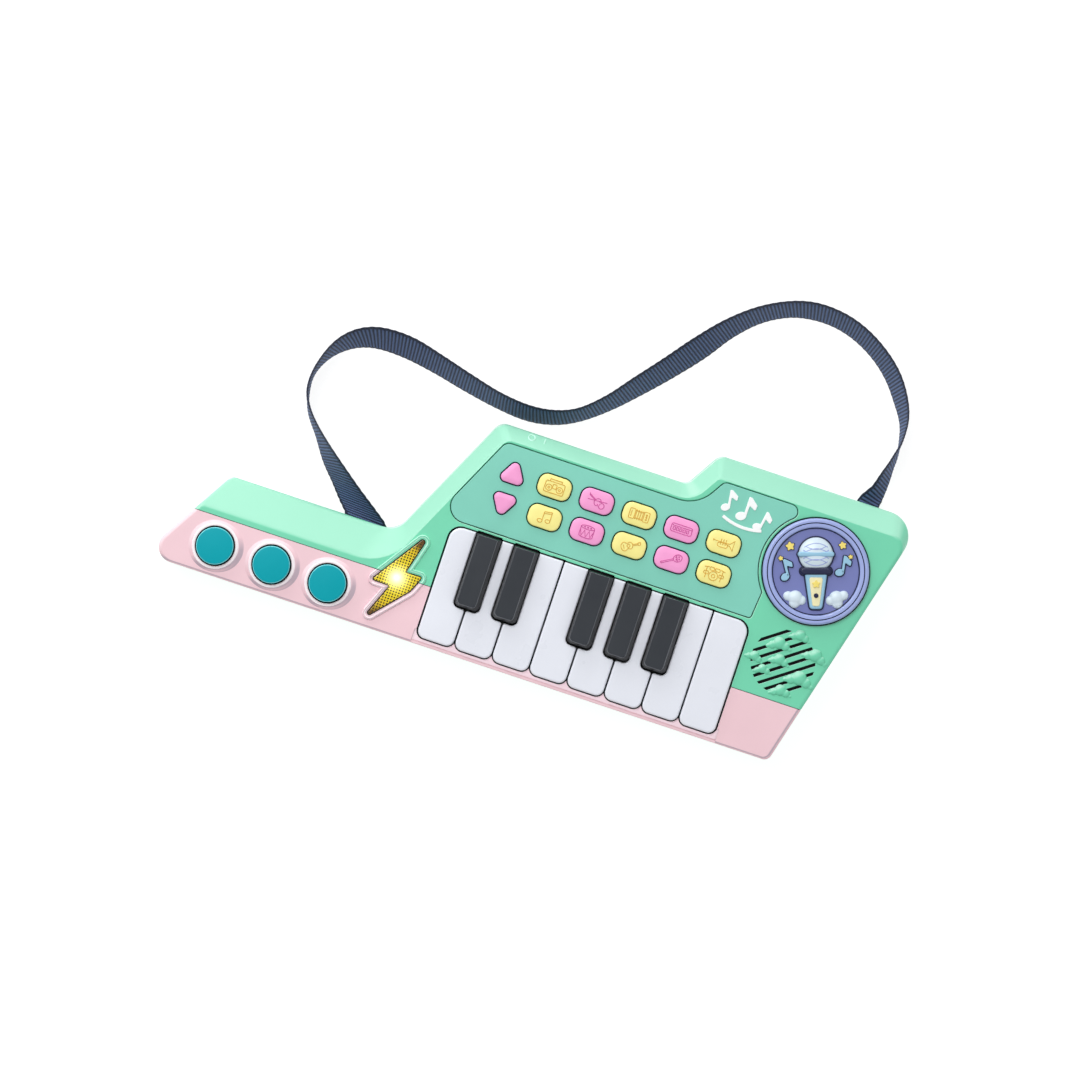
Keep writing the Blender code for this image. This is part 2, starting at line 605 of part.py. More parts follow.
def neck_button(x):
    radius = NECK_BUTTON_RADIUS
    return turned(x, NECK_BUTTONS_Y, [(0, 31.7), (12.2, 31.7), (12.2, 33.4), (radius, 33.4),
                                      (radius, 39.6), (radius - 0.7, 40.7), (radius - 2.4, 41.2),
                                      (0, 41.5)])


def medallion_button():
    """Round button with a raised rim and a five-pointed star in its dish."""
    outer, dish = MEDALLION_RADIUS, MEDALLION_DISH_RADIUS
    x, y = MEDALLION
    disc = turned(x, y, [(0, 31.0), (outer + 1.4, 31.0), (outer + 1.4, 33.3), (outer, 33.3),
                         (outer, 38.2), (outer - 1.6, 39.8), (dish + 1.2, 39.8), (dish, 37.4),
                         (0, 37.4)], 36)
    star = []
    for k in range(10):
        radius = 17.0 if k % 2 == 0 else 7.8
        angle = math.pi / 2 + k * math.pi / 5
        star.append((x + radius * math.cos(angle), y + radius * math.sin(angle)))
    return joined(disc, loft((star, 36.0), (scaled(star, MEDALLION, 0.86), 39.6)))


def control_panel():
    outline = panel_outline()
    panel = prism(outline, Z_UNDER_FACE, Z_FACE + PANEL_RISE)
    for x, y in ((0.0, PANEL_TOP_LEFT), (50.0, PANEL_TOP_LEFT), (112.0, PANEL_TOP_RIGHT)):
        tab = block(x - 5, x + 5, y - 4, y + 1.1, Z_TAB, Z_TAB + TAB_THICKNESS)
        root = block(x - 5, x + 5, y - 4, y - 2.5, Z_TAB + 0.5, Z_FACE - 1)
        panel = joined(panel, tab, root)
    holes = [prism(button_outline(x, y, BUTTON_CLEARANCE), 25.0, 45.0)
             for y in BUTTON_ROWS for x in BUTTON_COLUMNS]
    holes += [prism(swell(volume_outline(*span), BUTTON_CLEARANCE), 25.0, 45.0)
              for span in (VOLUME_UP_Y, VOLUME_DOWN_Y)]
    return cut(panel, grouped(*holes))


def bolt_lens():
    """Lightning-shaped lens with a flange that holds it behind the face."""
    return joined(prism(bolt_outline(0.0), 31.6, Z_LENS), prism(bolt_outline(LENS_FLANGE), 31.0, 33.4))


# ---- internals ----------------------------------------------------------------------------------
def speaker_frame():
    return turned(*SPEAKER, [(0, 12.0), (10.5, 12.0), (10.5, 21.0), (17.2, 31.0), (20.0, 31.0),
                             (20.0, 33.3), (18.6, 33.3), (16.2, 31.6), (9.0, 22.6), (0, 22.6)])


def speaker_cone():
    return turned(*SPEAKER, [(0, 25.6), (4.6, 25.0), (15.6, 31.7), (17.0, 32.6), (17.0, 33.1),
                             (15.4, 32.4), (5.0, 26.6), (0, 28.6)])


def battery_door_blank(margin, z0, z1):
    x0, x1, y0, y1 = DOOR
    ex0, ex1, ey0, ey1 = DOOR_EAR
    outline = [(ex0, ey0), (x0, ey0), (x0, y0), (x1, y0), (x1, y1), (x0, y1), (x0, ey1), (ex0, ey1)]
    return prism(swell(outline, margin), z0, z1)


def battery_door():
    door = battery_door_blank(0.0, 0.0, DOOR_THICKNESS)
    x, y = DOOR_SCREW
    return cut(door, prism(circle(x, y, 2.9, 12), -1.0, 1.2), prism(circle(x, y, 1.7, 8), 0.5, 5.0))


def screw(x, y, head_radius, head_z, shank_radius, top):
    low, high = head_z
    return turned(x, y, [(0, low), (head_radius, low), (head_radius, high), (shank_radius, high),
                         (shank_radius, top), (0, top + 0.8)], 8)


def battery_tray():
    x0, x1, y0, y1 = BAY
    tray = block(x0, x1, y0, y1, WALL + GAP, Z_BAY_TOP)
    tray = joined(tray, prism(circle(*DOOR_SCREW, 3.8, 12), WALL + GAP, 12.0))
    room = block(x0 + BAY_WALL, x1 - BAY_WALL, y0 + BAY_WALL, y1 - BAY_WALL, 0.0, Z_BAY_TOP - BAY_WALL)
    return cut(tray, room, prism(circle(*DOOR_SCREW, 1.7, 8), 0.0, 9.6))


def cell_centres():
    middle = (BAY[2] + BAY[3]) / 2
    return [middle + step * CELL_PITCH for step in (-1, 0, 1)]


def battery_cell(y):
    """One AA cell lying along X, with its raised terminal at the +X end."""
    x0 = (BAY[0] + BAY[1] - CELL_LENGTH) / 2
    z = WALL + 0.7 + CELL_RADIUS
    cell = rod_along_x(x0, x0 + CELL_LENGTH - 1.2, y, z, CELL_RADIUS, 16)
    return joined(cell, rod_along_x(x0 + CELL_LENGTH - 3, x0 + CELL_LENGTH, y, z, 2.6, 10))


def contact_strip(x):
    """Sprung steel strip across the three cells' ends."""
    ends = cell_centres()
    runner = block(x, x + CONTACT_THICKNESS, ends[0] - 4.5, ends[-1] + 4.5, 12.5, 15.5)
    pads = [block(x, x + CONTACT_THICKNESS, y - 4.5, y + 4.5, 4.5, 13.5) for y in ends]
    return joined(runner, grouped(*pads))


def power_switch():
    """Slide knob that lies flush in an opening of the upper wall, on a plate that runs behind the wall."""
    plate = block(SWITCH_X - 5.5, SWITCH_X + 5.5, 50.6, 53.3, 16.2, 22.4)
    knob = block(SWITCH_X - 3.2, SWITCH_X + 3.2, 52.0, 55.6, 17.4, 21.2)
    return joined(plate, knob)


def strap_slot(x, width, y0, y1):
    """Slot in the rear shell's wall that an end of the webbing passes through."""
    half = width / 2 + STRAP_SLOT_MARGIN
    return block(x - half, x + half, y0, y1, Z_STRAP - 2.7, Z_STRAP + 2.7)


def strap_anchor(x, y, width):
    """Staple that holds an end of the webbing: a bar on two legs, standing on the rear shell's floor."""
    half = width / 2 + 2.5
    legs = [block(x + side * half - 1.5, x + side * half + 1.5, y - 2.5, y + 2.5, 1.0, 12.5)
            for side in (-1, 1)]
    bar = rod_along_x(x - half, x + half, y, Z_STRAP, 2.0, 8)
    return joined(bar, *legs)


# ---- strap --------------------------------------------------------------------------------------
def smooth_route(points, steps=12):
    """Catmull-Rom curve through the route's points."""
    path = [Vector(p) for p in points]
    path = [2 * path[0] - path[1]] + path + [2 * path[-1] - path[-2]]
    curve = []
    for a, b, c, d in zip(path, path[1:], path[2:], path[3:]):
        for k in range(steps):
            t = k / steps
            curve.append(0.5 * (2 * b + (c - a) * t + (2 * a - 5 * b + 4 * c - d) * t * t +
                                (3 * b - a - 3 * c + d) * t ** 3))
    return curve + [path[-2]]


def evenly(curve, spacing):
    """The same curve with points a fixed distance apart, and each point's distance from the start."""
    travelled = [0.0]
    for a, b in zip(curve, curve[1:]):
        travelled.append(travelled[-1] + (b - a).xy.length)
    count = round(travelled[-1] / spacing)
    points, spots, segment = [], [], 0
    for k in range(count + 1):
        target = travelled[-1] * k / count
        while segment < len(curve) - 2 and travelled[segment + 1] < target:
            segment += 1
        share = (target - travelled[segment]) / (travelled[segment + 1] - travelled[segment])
        points.append(curve[segment].lerp(curve[segment + 1], share))
        spots.append(target)
    return points, spots


def ease(share):
    """Smooth step from 0 to 1."""
    share = min(max(share, 0.0), 1.0)
    return share * share * (3 - 2 * share)


def strap_spread(left):
    """The webbing's width as a share of its full width, where that length is left to its right end."""
    folded = STRAP_FOLDED_WIDTH / STRAP_WIDTH
    return folded + (1.0 - folded) * ease((left - STRAP_FOLD[0]) / STRAP_FOLD[1])


def strap_level(spot, left):
    """How far the webbing lines up with its slots, from 0 to 1, at a distance from each end."""
    ends = [1.0 - (distance - level) / settle
            for distance, level, settle in zip((spot, left), STRAP_LEVEL, STRAP_SETTLE)]
    return ease(max(ends))


def shoulder_strap():
    points, spots = evenly(smooth_route(STRAP_ROUTE), STRAP_STEP)
    builder = bmesh.new()
    loops = []
    for index, (point, spot) in enumerate(zip(points, spots)):
        before, after = points[max(index - 1, 0)], points[min(index + 1, len(points) - 1)]
        along = Vector((after.x - before.x, after.y - before.y, 0)).normalized()
        lean = math.radians(max(point.z, -90.0))
        flat = strap_level(spot, spots[-1] - spot)
        side = Vector((-along.y, along.x, 0))
        side = side.lerp(Vector((math.copysign(1, side.x), 0, 0)), flat).normalized()
        across = side * math.sin(lean) + Vector((0, 0, math.cos(lean)))
        spread = strap_spread(spots[-1] - spot)
        standing = STRAP_WIDTH * spread / 2 * math.cos(lean) + 0.6 / spread
        centre = Vector((point.x, point.y, standing + max(Z_STRAP - standing, 0.0) * flat))
        normal = along.cross(across).normalized()
        half = across * STRAP_WIDTH * spread / 2
        depth = normal * STRAP_THICKNESS / spread / 2
        loops.append([builder.verts.new((centre + a * half + b * depth) * MM)
                      for a, b in ((-1, -1), (1, -1), (1, 1), (-1, 1))])
    add_skin(builder, loops)
    return new_object("solid", builder)


# ---- build --------------------------------------------------------------------------------------
def build_casing(surface):
    finish("rear_shell", rear_shell(), surface["mint"])
    finish("upper_shell", front_half(False), surface["mint"])
    finish("lower_fascia", front_half(True), surface["pink"])
    finish("control_panel", control_panel(), surface["teal"])
    for number, (x, y) in enumerate(SCREWS, 1):
        finish(f"case_screw_{number}", screw(x, y, SCREW_HEAD_RADIUS, (2.5, 4.6), 1.4, 21.0),
               surface["steel"])


def build_keys(surface):
    pivot = (0.0, PIVOT_Y, PIVOT_Z)
    for index in range(KEY_COUNT):
        origin = (KEYS_LEFT + (index + 0.5) * KEY_PITCH,) + pivot[1:]
        finish(f"white_key_{index + 1}", white_key(index), surface["white"], origin)
    for number, gap in enumerate(BLACK_GAPS, 1):
        origin = (KEYS_LEFT + gap * KEY_PITCH,) + pivot[1:]
        finish(f"black_key_{number}", black_key(gap), surface["black"], origin)
    finish("key_bed", key_bed(), surface["inner"])
    rod = rod_along_x(KEYS_LEFT - 3.4, KEYS_RIGHT + 3.4, PIVOT_Y, PIVOT_Z, ROD_RADIUS)
    finish("key_pivot_rod", rod, surface["steel"])
    finish("key_board", block(*KEY_BOARD), surface["board"])
    finish("key_contact_pad", contact_pad(KEY_PAD, key_middles(), 20.7, 3.2), surface["silicone"])


def build_buttons(surface):
    number = 0
    for row, y in enumerate(BUTTON_ROWS):
        for column, x in enumerate(BUTTON_COLUMNS):
            number += 1
            colour = surface["yellow_button" if column % 2 == 0 else "pink_button"]
            finish(f"instrument_button_{number}", cap_button(button_outline(x, y)), colour,
                   (x, y, Z_FACE))
    for name, span in (("volume_up_button", VOLUME_UP_Y), ("volume_down_button", VOLUME_DOWN_Y)):
        finish(name, cap_button(volume_outline(*span)), surface["pink_button"],
               (VOLUME_X, sum(span) / 2, Z_FACE))
    for number, x in enumerate(NECK_BUTTONS_X, 1):
        finish(f"neck_button_{number}", neck_button(x), surface["neck_button"],
               (x, NECK_BUTTONS_Y, Z_FACE))
    finish("medallion_button", medallion_button(), surface["medallion"], MEDALLION + (Z_FACE,))
    switch_origin = (SWITCH_X, 54.8, 19.3)
    finish("power_switch", power_switch(), surface["black"], switch_origin)


def build_internals(surface):
    domes = [(x, y) for y in BUTTON_ROWS for x in BUTTON_COLUMNS]
    domes += [(VOLUME_X, sum(VOLUME_UP_Y) / 2 - 1), (VOLUME_X, sum(VOLUME_DOWN_Y) / 2 + 1)]
    finish("main_board", block(*MAIN_BOARD), surface["board"])
    finish("button_contact_pad", contact_pad(BUTTON_PAD, domes, 29.8, 3.4), surface["silicone"])
    finish("neck_board", block(*NECK_BOARD), surface["board"])
    neck_domes = [(x, NECK_BUTTONS_Y) for x in NECK_BUTTONS_X]
    finish("neck_contact_pad", contact_pad(NECK_PAD, neck_domes, 28.3, 4.5), surface["silicone"])
    finish("bolt_lens", bolt_lens(), surface["lens"])
    lamp = turned(*BOLT_CENTRE, [(0, 21.9), (2.9, 21.9), (2.9, 22.9), (2.5, 22.9), (2.5, 27.0),
                                 (1.8, 28.7), (0, 29.5)], 12)
    finish("led_lamp", lamp, surface["white"])
    finish("speaker_frame", speaker_frame(), surface["speaker"])
    finish("speaker_cone", speaker_cone(), surface["paper"])


def build_battery_bay(surface):
    finish("battery_tray", battery_tray(), surface["inner"])
    for number, y in enumerate(cell_centres(), 1):
        finish(f"battery_cell_{number}", battery_cell(y), surface["cell"])
    inside = BAY_WALL + GAP
    finish("battery_contact_left", contact_strip(BAY[0] + inside), surface["steel"])
    finish("battery_contact_right", contact_strip(BAY[1] - inside - CONTACT_THICKNESS),
           surface["steel"])
    door_origin = ((DOOR[0] + DOOR[1]) / 2, (DOOR[2] + DOOR[3]) / 2, 0.0)
    finish("battery_door", battery_door(), surface["mint"], door_origin)
    finish("battery_door_screw", screw(*DOOR_SCREW, 2.5, (0.3, 0.9), 1.3, 8.0), surface["steel"],
           door_origin)


def build_strap(surface):
    finish("shoulder_strap", shoulder_strap(), surface["webbing"])


for leftover in list(bpy.data.objects):
    bpy.data.objects.remove(leftover)
ASSEMBLY = bpy.data.objects.new("keytar", None)
bpy.context.scene.collection.objects.link(ASSEMBLY)
SURFACES = make_materials()
build_casing(SURFACES)
build_keys(SURFACES)
build_buttons(SURFACES)
build_internals(SURFACES)
build_battery_bay(SURFACES)
build_strap(SURFACES)
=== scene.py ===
import math

import bmesh
import bpy
from mathutils import Matrix, Vector


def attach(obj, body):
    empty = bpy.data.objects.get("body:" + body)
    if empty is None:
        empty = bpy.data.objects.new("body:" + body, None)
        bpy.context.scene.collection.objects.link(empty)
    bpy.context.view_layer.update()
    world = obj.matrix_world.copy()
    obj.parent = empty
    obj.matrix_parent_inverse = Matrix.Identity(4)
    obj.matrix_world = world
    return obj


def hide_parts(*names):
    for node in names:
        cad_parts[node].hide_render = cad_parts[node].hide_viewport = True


# Toy keytar, seen from straight above as it lies on its back. Lengths are in millimetres and become metres
# when a mesh is made; the shapes repeat the driving dimensions of the CAD model.
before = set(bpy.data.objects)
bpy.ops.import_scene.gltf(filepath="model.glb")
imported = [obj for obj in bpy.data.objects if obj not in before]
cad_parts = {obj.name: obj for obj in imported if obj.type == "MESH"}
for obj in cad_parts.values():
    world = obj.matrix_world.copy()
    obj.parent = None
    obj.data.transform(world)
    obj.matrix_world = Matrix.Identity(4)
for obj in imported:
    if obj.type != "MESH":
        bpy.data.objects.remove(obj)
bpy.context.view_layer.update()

MM = 0.001

# ---- dimensions shared with the CAD model --------------------------------------------------------
GAP = 0.35
WALL = 2.2
Z_SPLIT = 14.7
Z_SHOULDER = 24.0
Z_FACE = 36.0
Z_UNDER_FACE = Z_FACE - WALL
Y_COLOUR_SPLIT = -44.2
BODY = [(-206.0, -77.1, 9.0), (163.2, -77.1, 4.5), (203.3, 77.1, 14.0), (84.1, 77.1, 6.0),
        (71.3, 55.9, 7.0), (-38.9, 55.9, 6.7), (-75.4, -20.7, 14.0), (-172.6, -20.7, 4.5)]
BAND = [0.0, 0.0, 12.5, 9.0, 8.1, 9.5, 19.8, 0.0]
BAND_RADIUS_GROWTH = [0.0, 0.0, -6.0, -2.5, 8.0, -1.0, 15.0, -2.0]
EDGE_ROUNDING = [1.5, 2.6, 0.0, 0.0, 0.0, 0.0, 0.0, 2.8]     # of the edges that have no sloped band
SOFTENING = 0.1               # share of the band's width over which its two creases are rounded

KEY_COUNT = 8
KEY_PITCH = 22.0
KEY_GAP = 0.9
KEYS_LEFT = -46.3
KEYS_RIGHT = KEYS_LEFT + KEY_COUNT * KEY_PITCH
KEYS_FRONT, KEYS_REAR = -73.5, -6.7
KEY_FRONT, KEY_REAR = KEYS_FRONT + 0.75, KEYS_REAR - 0.5
Z_KEY_BOTTOM, Z_WHITE, Z_BLACK, Z_BLACK_SHOULDER = 28.0, 38.0, 44.0, 38.3
KEY_CORNER_RADIUS, BAY_RADIUS, CUSP_WIDTH, REAR_CORNER_RADIUS = 4.4, 5.1, 0.24, 7.5
CUSP_REACH, RIM_DROP = 4.5, 0.55              # of the rim in front of the keys, which lies below the face
KEY_TAIL = (-9.5, 3.5, 21.5, 31.0)            # y, y, z, z of the part that turns on the rod
Z_PLUNGER, KEY_WALL = 24.2, 1.6
BLACK_GAPS = (1, 2, 4, 5, 6)
BLACK_WIDTH, BLACK_FRONT = 14.3, -49.5
BLACK_SLOPES = (1.5, 2.2, 0.5, 1.0)           # width of the slopes at the front, right, rear and left
PIVOT_Y, PIVOT_Z, PIVOT_HOLE_RADIUS = -1.5, 26.0, 2.0

PANEL_BOTTOM, PANEL_TOP_LEFT, PANEL_TOP_RIGHT = -4.2, 45.8, 63.2
PANEL_TIP_RADIUS = 4.0
PANEL_ARC_RADIUS = 32.4
Z_PANEL = Z_FACE + 0.3
BUTTON_COLUMNS = [1.4 + 24.9 * column for column in range(5)]
BUTTON_ROWS = (30.5, 12.7)
BUTTON_SIZE, BUTTON_RADIUS, BUTTON_CLEARANCE = (18.9, 12.5), 4.8, 0.6
Z_BUTTON_TOP = 38.2
VOLUME_X, VOLUME_WIDTH, VOLUME_RADIUS = -22.9, 16.6, 2.8
VOLUME_UP_Y, VOLUME_DOWN_Y = (24.9, 36.9), (18.4, 6.7)
MEDALLION, MEDALLION_RADIUS, DISH_RADIUS, Z_DISH = (154.8, 31.9), 29.8, 24.6, 37.4
NECK_BUTTONS_X, NECK_BUTTONS_Y = (-168.3, -135.1, -102.1), -60.4
NECK_BUTTON_RADIUS, NECK_OPENING_RADIUS, COLLAR_RADIUS, Z_COLLAR = 10.5, 11.2, 12.9, 37.3
MOUND_REACH, MOUND_HEIGHT = (4.3, 3.1, 2.2), 1.05   # of the neck buttons' mounds: right, left and across
SPEAKER, GRILLE_RADIUS, SLOT_WIDTH, SLOT_PITCH = (153.4, -21.9), 18.2, 1.7, 4.5
SLOT_ANGLE = math.radians(36.0)
BOLT = [(-55.8, -15.2, 1.2), (-79.4, -50.4, 0.9), (-68.4, -50.5, 1.2), (-77.5, -73.1, 0.9),
        (-56.6, -49.8, 12.0), (-53.0, -40.7, 0.8), (-62.8, -41.0, 1.0)]
BOLT_CENTRE = (-66.4, -45.2)
BEZEL_WIDTH, LENS_CLEARANCE, LENS_FLANGE = 3.0, 0.5, 1.9
DOOR = (91.0, 142.0, 11.0, 53.0)
DOOR_EAR = (80.5, 92.0, 26.5, 37.5)
DOOR_SCREW = (84.4, 32.0)
SWITCH_X, SWITCH_TRAVEL = -23.0, 7.0
SCREWS = [(-187.0, -67.5), (-53.0, -71.5), (150.0, -67.5), (188.0, 52.0), (22.0, 48.8)]
STRAP_WIDTH, STRAP_THICKNESS, Z_STRAP = 25.0, 1.5, 9.5
STRAP_FOLDED_WIDTH, STRAP_FOLD = 12.9, (11.0, 34.0)     # the webbing is folded in half at its right end
STRAP_SLOT_MARGIN = 1.5
STRAP_LEVEL, STRAP_SETTLE = (30.0, 11.0), (50.0, 19.0)   # lengths at the ends: along the slot, turning
# The route's points: x, y, and how many degrees the webbing leans over to the route's left from standing.
STRAP_LEFT = [(-91.8, -30.5, -90.0), (-92.6, -24.5, -90.0)]
STRAP_RIGHT = [(171.4, 72.0, -90.0), (171.0, 65.5, -90.0)]
STRAP_ROUTE = STRAP_LEFT + [
    (-94.3, -19.5, -85.0), (-100.3, -14.0, -67.0), (-107.8, -7.5, -50.5), (-122.1, 5.0, -26.0),
    (-132.6, 15.8, -12.0), (-142.5, 27.3, -5.4), (-147.2, 38.0, 0.0), (-147.6, 49.1, 1.0),
    (-143.4, 60.9, 8.2), (-136.5, 70.3, 17.3), (-127.3, 76.7, 24.2), (-116.1, 79.6, 28.0),
    (-100.3, 79.3, 28.8), (-82.0, 75.7, 25.0), (-63.0, 71.1, 22.5), (-44.0, 67.2, 19.8),
    (-26.0, 65.7, 19.5), (-10.8, 68.1, 18.0),
    (2.3, 74.3, 16.4), (15.6, 85.7, 19.3), (28.2, 99.8, 24.7), (41.2, 114.9, 28.3), (54.0, 130.8, 30.5),
    (66.2, 146.2, 25.0), (79.7, 158.7, 20.7), (94.4, 167.1, 19.5), (108.2, 170.8, 20.5),
    (122.9, 170.7, 19.7), (137.0, 167.0, 19.0), (150.8, 159.7, 18.0), (162.4, 150.0, 17.6),
    (171.1, 138.3, 15.0), (176.4, 127.6, 8.2), (178.3, 116.0, 0.0), (178.0, 107.5, -8.0),
    (177.0, 100.0, -14.0), (175.3, 88.0, -31.0), (173.6, 83.0, -50.0), (172.0, 78.3, -80.0)] + STRAP_RIGHT
STRAP_CLEARANCE = 0.6         # of the webbing's middle line over the floor, on top of its standing half width
ROUTE_STEPS = 12              # points of the curve from one point of the route to the next
RIB_PITCH = 2.0               # of the webbing's cross ribs; each scallop of its edges spans two
SCALLOP_DEPTH, FURROW_DEPTH = 0.035, 0.16     # as shares of the half width and of the half thickness
CLOUD_VOXEL = 0.3

VIEW_TURN = math.radians(18.4)                     # how far the camera is turned about the vertical
BRIGHT_SIDE = (-0.66, 0.75, 0.0)                   # the side of the toy that the light comes from


# ---- outlines, all counter-clockwise -------------------------------------------------------------
def around(count):
    """Angles of a whole turn in equal steps."""
    return [2 * math.pi * k / count for k in range(count)]


def quarter(steps):
    """Angles of a quarter turn, both ends included."""
    return [math.pi / 2 * k / steps for k in range(steps + 1)]


def ellipse(x, y, width, height, sides):
    return [(x + width * math.cos(a), y + height * math.sin(a)) for a in around(sides)]


def circle(x, y, radius, sides=48):
    return ellipse(x, y, radius, radius, sides)


def arc(x, y, radius, first, last, steps):
    """Points of an arc from one angle to the other, in degrees, both included."""
    angles = [math.radians(first + (last - first) * k / steps) for k in range(steps + 1)]
    return [(x + radius * math.cos(a), y + radius * math.sin(a)) for a in angles]


def rounded(corners, step=9.0):
    """Outline through (x, y, radius) corners, with an arc of about step degrees a side at each."""
    outline = []
    for index, (x, y, radius) in enumerate(corners):
        here = Vector((x, y))
        if radius == 0:
            outline.append((x, y))
            continue
        back = (Vector(corners[index - 1][:2]) - here).normalized()
        ahead = (Vector(corners[(index + 1) % len(corners)][:2]) - here).normalized()
        half = back.angle(ahead) / 2
        centre = here + (back + ahead).normalized() * (radius / math.sin(half))
        start = here + back * (radius / math.tan(half)) - centre
        end = here + ahead * (radius / math.tan(half)) - centre
        first = math.atan2(start.y, start.x)
        turn = (math.atan2(end.y, end.x) - first + math.pi) % (2 * math.pi) - math.pi
        steps = max(2, round(abs(math.degrees(turn)) / step))
        for k in range(steps + 1):
            angle = first + turn * k / steps
            outline.append((centre.x + radius * math.cos(angle), centre.y + radius * math.sin(angle)))
    return outline


def rectangle(x0, x1, y0, y1, radius=0.0):
    return [(x0, y0, radius), (x1, y0, radius), (x1, y1, radius), (x0, y1, radius)]


def inset(corners, distances, growth=None):
    """Move each edge of an (x, y, radius) outline inwards by its own distance."""
    count = len(corners)
    growth = growth or [0.0] * count
    lines = []
    for index in range(count):
        start = Vector(corners[index][:2])
        along = (Vector(corners[(index + 1) % count][:2]) - start).normalized()
        lines.append((start + Vector((-along.y, along.x)) * distances[index], along))
    moved = []
    for index in range(count):
        (point, along), (other, beside) = lines[index - 1], lines[index]
        reach = (other - point).cross(beside) / along.cross(beside)
        meet = point + along * reach
        moved.append((meet.x, meet.y, max(corners[index][2] + growth[index], 0.0)))
    return moved


def shrink(corners, distance):
    """Inset every edge alike; an outer corner's radius shrinks and an inner corner's radius grows."""
    growth = []
    for index, (x, y, radius) in enumerate(corners):
        before = Vector((x, y)) - Vector(corners[index - 1][:2])
        after = Vector(corners[(index + 1) % len(corners)][:2]) - Vector((x, y))
        outer = before.cross(after) > 0
        change = -min(distance, radius * 0.9) if outer else max(distance, 0.3 - radius)
        growth.append(change * (radius > 0))
    return inset(corners, [distance] * len(corners), growth)


def swell(outline, distance):
    """Move each point of an outline outwards, square to its neighbours."""
    moved = []
    for index, (x, y) in enumerate(outline):
        before = (Vector((x, y)) - Vector(outline[index - 1])).normalized()
        after = (Vector(outline[(index + 1) % len(outline)]) - Vector((x, y))).normalized()
        normal = Vector((before.y + after.y, -before.x - after.x)).normalized()
        stretch = 1 / max(normal.dot(Vector((after.y, -after.x))), 0.5)
        moved.append((x + normal.x * distance * stretch, y + normal.y * distance * stretch))
    return moved


def placed(outline, centre, turn=0.0, size=1.0):
    """The outline turned by an angle, scaled and moved to a centre."""
    c, s = math.cos(turn) * size, math.sin(turn) * size
    return [(centre[0] + x * c - y * s, centre[1] + x * s + y * c) for x, y in outline]


def star_corners(points, radius, waist, centre, turn=0.0):
    corners = []
    for k in range(2 * points):
        reach = radius if k % 2 == 0 else radius * waist
        angle = math.pi / 2 + math.pi * k / points + turn
        corners.append((centre[0] + reach * math.cos(angle), centre[1] + reach * math.sin(angle),
                        radius * 0.16))
    return corners


def ease(t):
    """Smooth step from 0 to 1."""
    t = min(max(t, 0.0), 1.0)
    return t * t * (3 - 2 * t)


def moulded(corners, step=15.0):
    """Function of a distance that gives the corners' outline moved inwards by it."""
    return lambda distance: rounded(shrink(corners, distance), step)


# ---- solids --------------------------------------------------------------------------------------
def new_object(name, builder):
    mesh = bpy.data.meshes.new(name)
    bmesh.ops.recalc_face_normals(builder, faces=builder.faces)
    builder.to_mesh(mesh)
    builder.free()
    item = bpy.data.objects.new(name, mesh)
    bpy.context.scene.collection.objects.link(item)
    return item


def add_skin(builder, loops, closed=False):
    """Join neighbouring loops of vertices with faces, and fill the two ends or join them up."""
    count = len(loops[0])
    for lower, upper in zip(loops, loops[1:] + loops[:1] * closed):
        for k in range(count):
            follow = (k + 1) % count
            builder.faces.new((lower[k], lower[follow], upper[follow], upper[k]))
    if not closed:
        builder.faces.new(loops[0][::-1])
        builder.faces.new(loops[-1])


def loft(*rings):
    """Closed body through rings of equal count, each a pair (outline, z)."""
    builder = bmesh.new()
    loops = [[builder.verts.new((x * MM, y * MM, z * MM)) for x, y in outline] for outline, z in rings]
    add_skin(builder, loops)
    return new_object("solid", builder)


def prism(outline, z0, z1):
    return loft((outline, z0), (outline, z1))


def block(x0, x1, y0, y1, z0, z1):
    return prism([(x0, y0), (x1, y0), (x1, y1), (x0, y1)], z0, z1)


def soft_top(inset_by, z0, z1, radius, steps=5, crown=0.0, crown_width=0.0):
    """Rings of a moulding with a rounded top edge and, if wanted, a slight crown inside that edge.

    inset_by(d) gives the outline moved inwards by d.
    """
    rings = [(inset_by(0.0), z0)]
    for angle in quarter(steps):
        rings.append((inset_by(radius * (1 - math.cos(angle))), z1 - crown - radius * (1 - math.sin(angle))))
    for k in range(1, 5 if crown else 0):
        rings.append((inset_by(radius + crown_width * k / 4), z1 - crown * (1 - k / 4) ** 2))
    return loft(*rings)


def opening(outline, lip=0.45, low=Z_FACE - 2 * WALL, top=Z_FACE):
    """Cutter for an opening in the face, flared at the top so that the opening's edge is rounded.

    The outline is a list of points, or a function that gives it for a margin.
    """
    grown = outline if callable(outline) else lambda margin: swell(outline, margin)
    return loft((grown(0.0), low), (grown(0.0), top - lip), (grown(lip * 0.12), top - lip * 0.5),
                (grown(lip * 0.5), top - lip * 0.12), (grown(lip), top), (grown(lip), Z_FACE + 6))


def turned(x, y, profile, sides=72):
    """Solid of revolution about a vertical axis; the profile's (radius, z) ends lie on the axis."""
    builder = bmesh.new()
    ends = [builder.verts.new((x * MM, y * MM, profile[k][1] * MM)) for k in (0, -1)]
    loops = [[builder.verts.new((px * MM, py * MM, z * MM)) for px, py in circle(x, y, radius, sides)]
             for radius, z in profile[1:-1]]
    for lower, upper in zip(loops, loops[1:]):
        for k in range(sides):
            follow = (k + 1) % sides
            builder.faces.new((lower[k], lower[follow], upper[follow], upper[k]))
    for end, loop in zip(ends, (loops[0], loops[-1])):
        for k in range(sides):
            builder.faces.new((end, loop[k], loop[(k + 1) % sides]))
    return new_object("solid", builder)


def rod_along_x(x0, x1, y, z, radius):
    builder = bmesh.new()
    loops = [[builder.verts.new((x * MM, py * MM, pz * MM)) for py, pz in circle(y, z, radius, 24)]
             for x in (x0, x1)]
    add_skin(builder, loops)
    return new_object("solid", builder)


